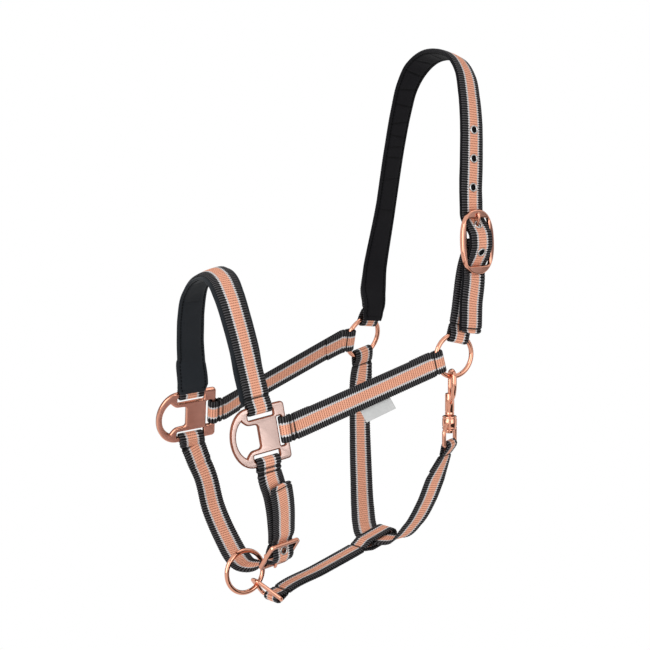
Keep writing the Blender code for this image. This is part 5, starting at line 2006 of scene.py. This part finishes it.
class HEADCOLLAR_OT_buckles(bpy.types.Operator):
    """Crown and chin buckles with their tongues"""
    bl_idname = "headcollar.buckles"
    bl_label = "Buckles"

    def execute(self, context):
        _, crown_places, _ = crown_route()
        _, chin_places = chin_route()
        oval = []
        for x, y in arc((0, 0), (1, 1), 0, 360, CROWN_OVAL_POINTS)[:-1]:
            fuller = (math.copysign(abs(v) ** CROWN_OVAL_FULL, v) for v in (x, y))
            oval.append(tuple(size * v for size, v in zip(CROWN_OVAL, fuller)))
        axes = (CROWN_ACROSS, CROWN_UP, CROWN_OUT)
        window = rounded(box(*CROWN_WINDOW), CROWN_WINDOW_R)
        buckle_casting("crown_buckle_casting", CROWN_BUCKLE, axes, oval, window, CROWN_DEEPER, CROWN_EDGE,
                       "crown_buckle", "crown_buckle_frame")
        tongue_wire("crown_tongue_wire", CROWN_BUCKLE, axes, 1, crown_places[CROWN_HELD], CROWN_TIP,
                    "crown_tongue", "crown_buckle_tongue")
        axes = (CHIN_ACROSS, CHIN_UP, CHIN_OUT)
        outside = rounded(box(*CHIN_OUTSIDE), CHIN_OUTSIDE_R)
        window = rounded(box(*CHIN_WINDOW), CHIN_WINDOW_R, SLOT_STEPS)
        buckle_casting("chin_buckle_casting", CHIN_BUCKLE, axes, outside, window, 0.0, CHIN_EDGE,
                       "chin_buckle", "chin_buckle_frame")
        tongue_wire("chin_tongue_wire", CHIN_BUCKLE, axes, -1, chin_places[0], CHIN_TIP, "chin_tongue",
                    "chin_buckle_tongue")
        return {"FINISHED"}


class HEADCOLLAR_OT_eyelets(bpy.types.Operator):
    """Eyelets of the crown and chin straps"""
    bl_idname = "headcollar.eyelets"
    bl_label = "Eyelets"

    def execute(self, context):
        _, places, _ = crown_route()
        for k, hole in enumerate(places, 1):
            eyelet_ring("crown_rolled_eyelet_%d" % k, hole, 1, "crown_eyelet_%d" % k)
        _, places = chin_route()
        for k, hole in enumerate(places, 1):
            eyelet_ring("chin_rolled_eyelet_%d" % k, hole, -1, "chin_eyelet_%d" % k)
        return {"FINISHED"}


class HEADCOLLAR_OT_snap(bpy.types.Operator):
    """Bolt snap with its swivel eye"""
    bl_idname = "headcollar.snap"
    bl_label = "Bolt Snap"

    def execute(self, context):
        snap_hook()
        snap_bolt()
        snap_eye()
        snap_coil()
        return {"FINISHED"}


class HEADCOLLAR_PT_pieces(bpy.types.Panel):
    """The headcollar's pieces, in the order they are made"""
    bl_idname = "HEADCOLLAR_PT_pieces"
    bl_label = "Headcollar"
    bl_space_type = "VIEW_3D"
    bl_region_type = "UI"
    bl_category = "Headcollar"

    def draw(self, context):
        for operator in OPERATORS:
            self.layout.operator(operator.bl_idname)
        for group in (settings().webbing, settings().pads, settings().metals, settings().trim):
            section = self.layout.box()
            for key in group.__annotations__:
                section.prop(group, key)


SETTINGS = (WebbingSettings, PadSettings, MetalSettings, TrimSettings, HeadcollarSettings)
OPERATORS = (HEADCOLLAR_OT_stage, HEADCOLLAR_OT_crown, HEADCOLLAR_OT_noseband, HEADCOLLAR_OT_cheeks,
             HEADCOLLAR_OT_chin, HEADCOLLAR_OT_jaw, HEADCOLLAR_OT_plates, HEADCOLLAR_OT_rings,
             HEADCOLLAR_OT_buckles, HEADCOLLAR_OT_eyelets, HEADCOLLAR_OT_snap)


def register():
    for item in SETTINGS + OPERATORS + (HEADCOLLAR_PT_pieces,):
        bpy.utils.register_class(item)
    bpy.types.Scene.headcollar = PointerProperty(type=HeadcollarSettings)


def unregister():
    del bpy.types.Scene.headcollar
    for item in reversed(SETTINGS + OPERATORS + (HEADCOLLAR_PT_pieces,)):
        bpy.utils.unregister_class(item)


def main():
    register()
    bpy.ops.headcollar.stage()
    bpy.ops.headcollar.crown()
    bpy.ops.headcollar.noseband()
    bpy.ops.headcollar.cheeks()
    bpy.ops.headcollar.chin()
    bpy.ops.headcollar.jaw()
    bpy.ops.headcollar.plates()
    bpy.ops.headcollar.rings()
    bpy.ops.headcollar.buckles()
    bpy.ops.headcollar.eyelets()
    bpy.ops.headcollar.snap()


if __name__ == "__main__":
    main()
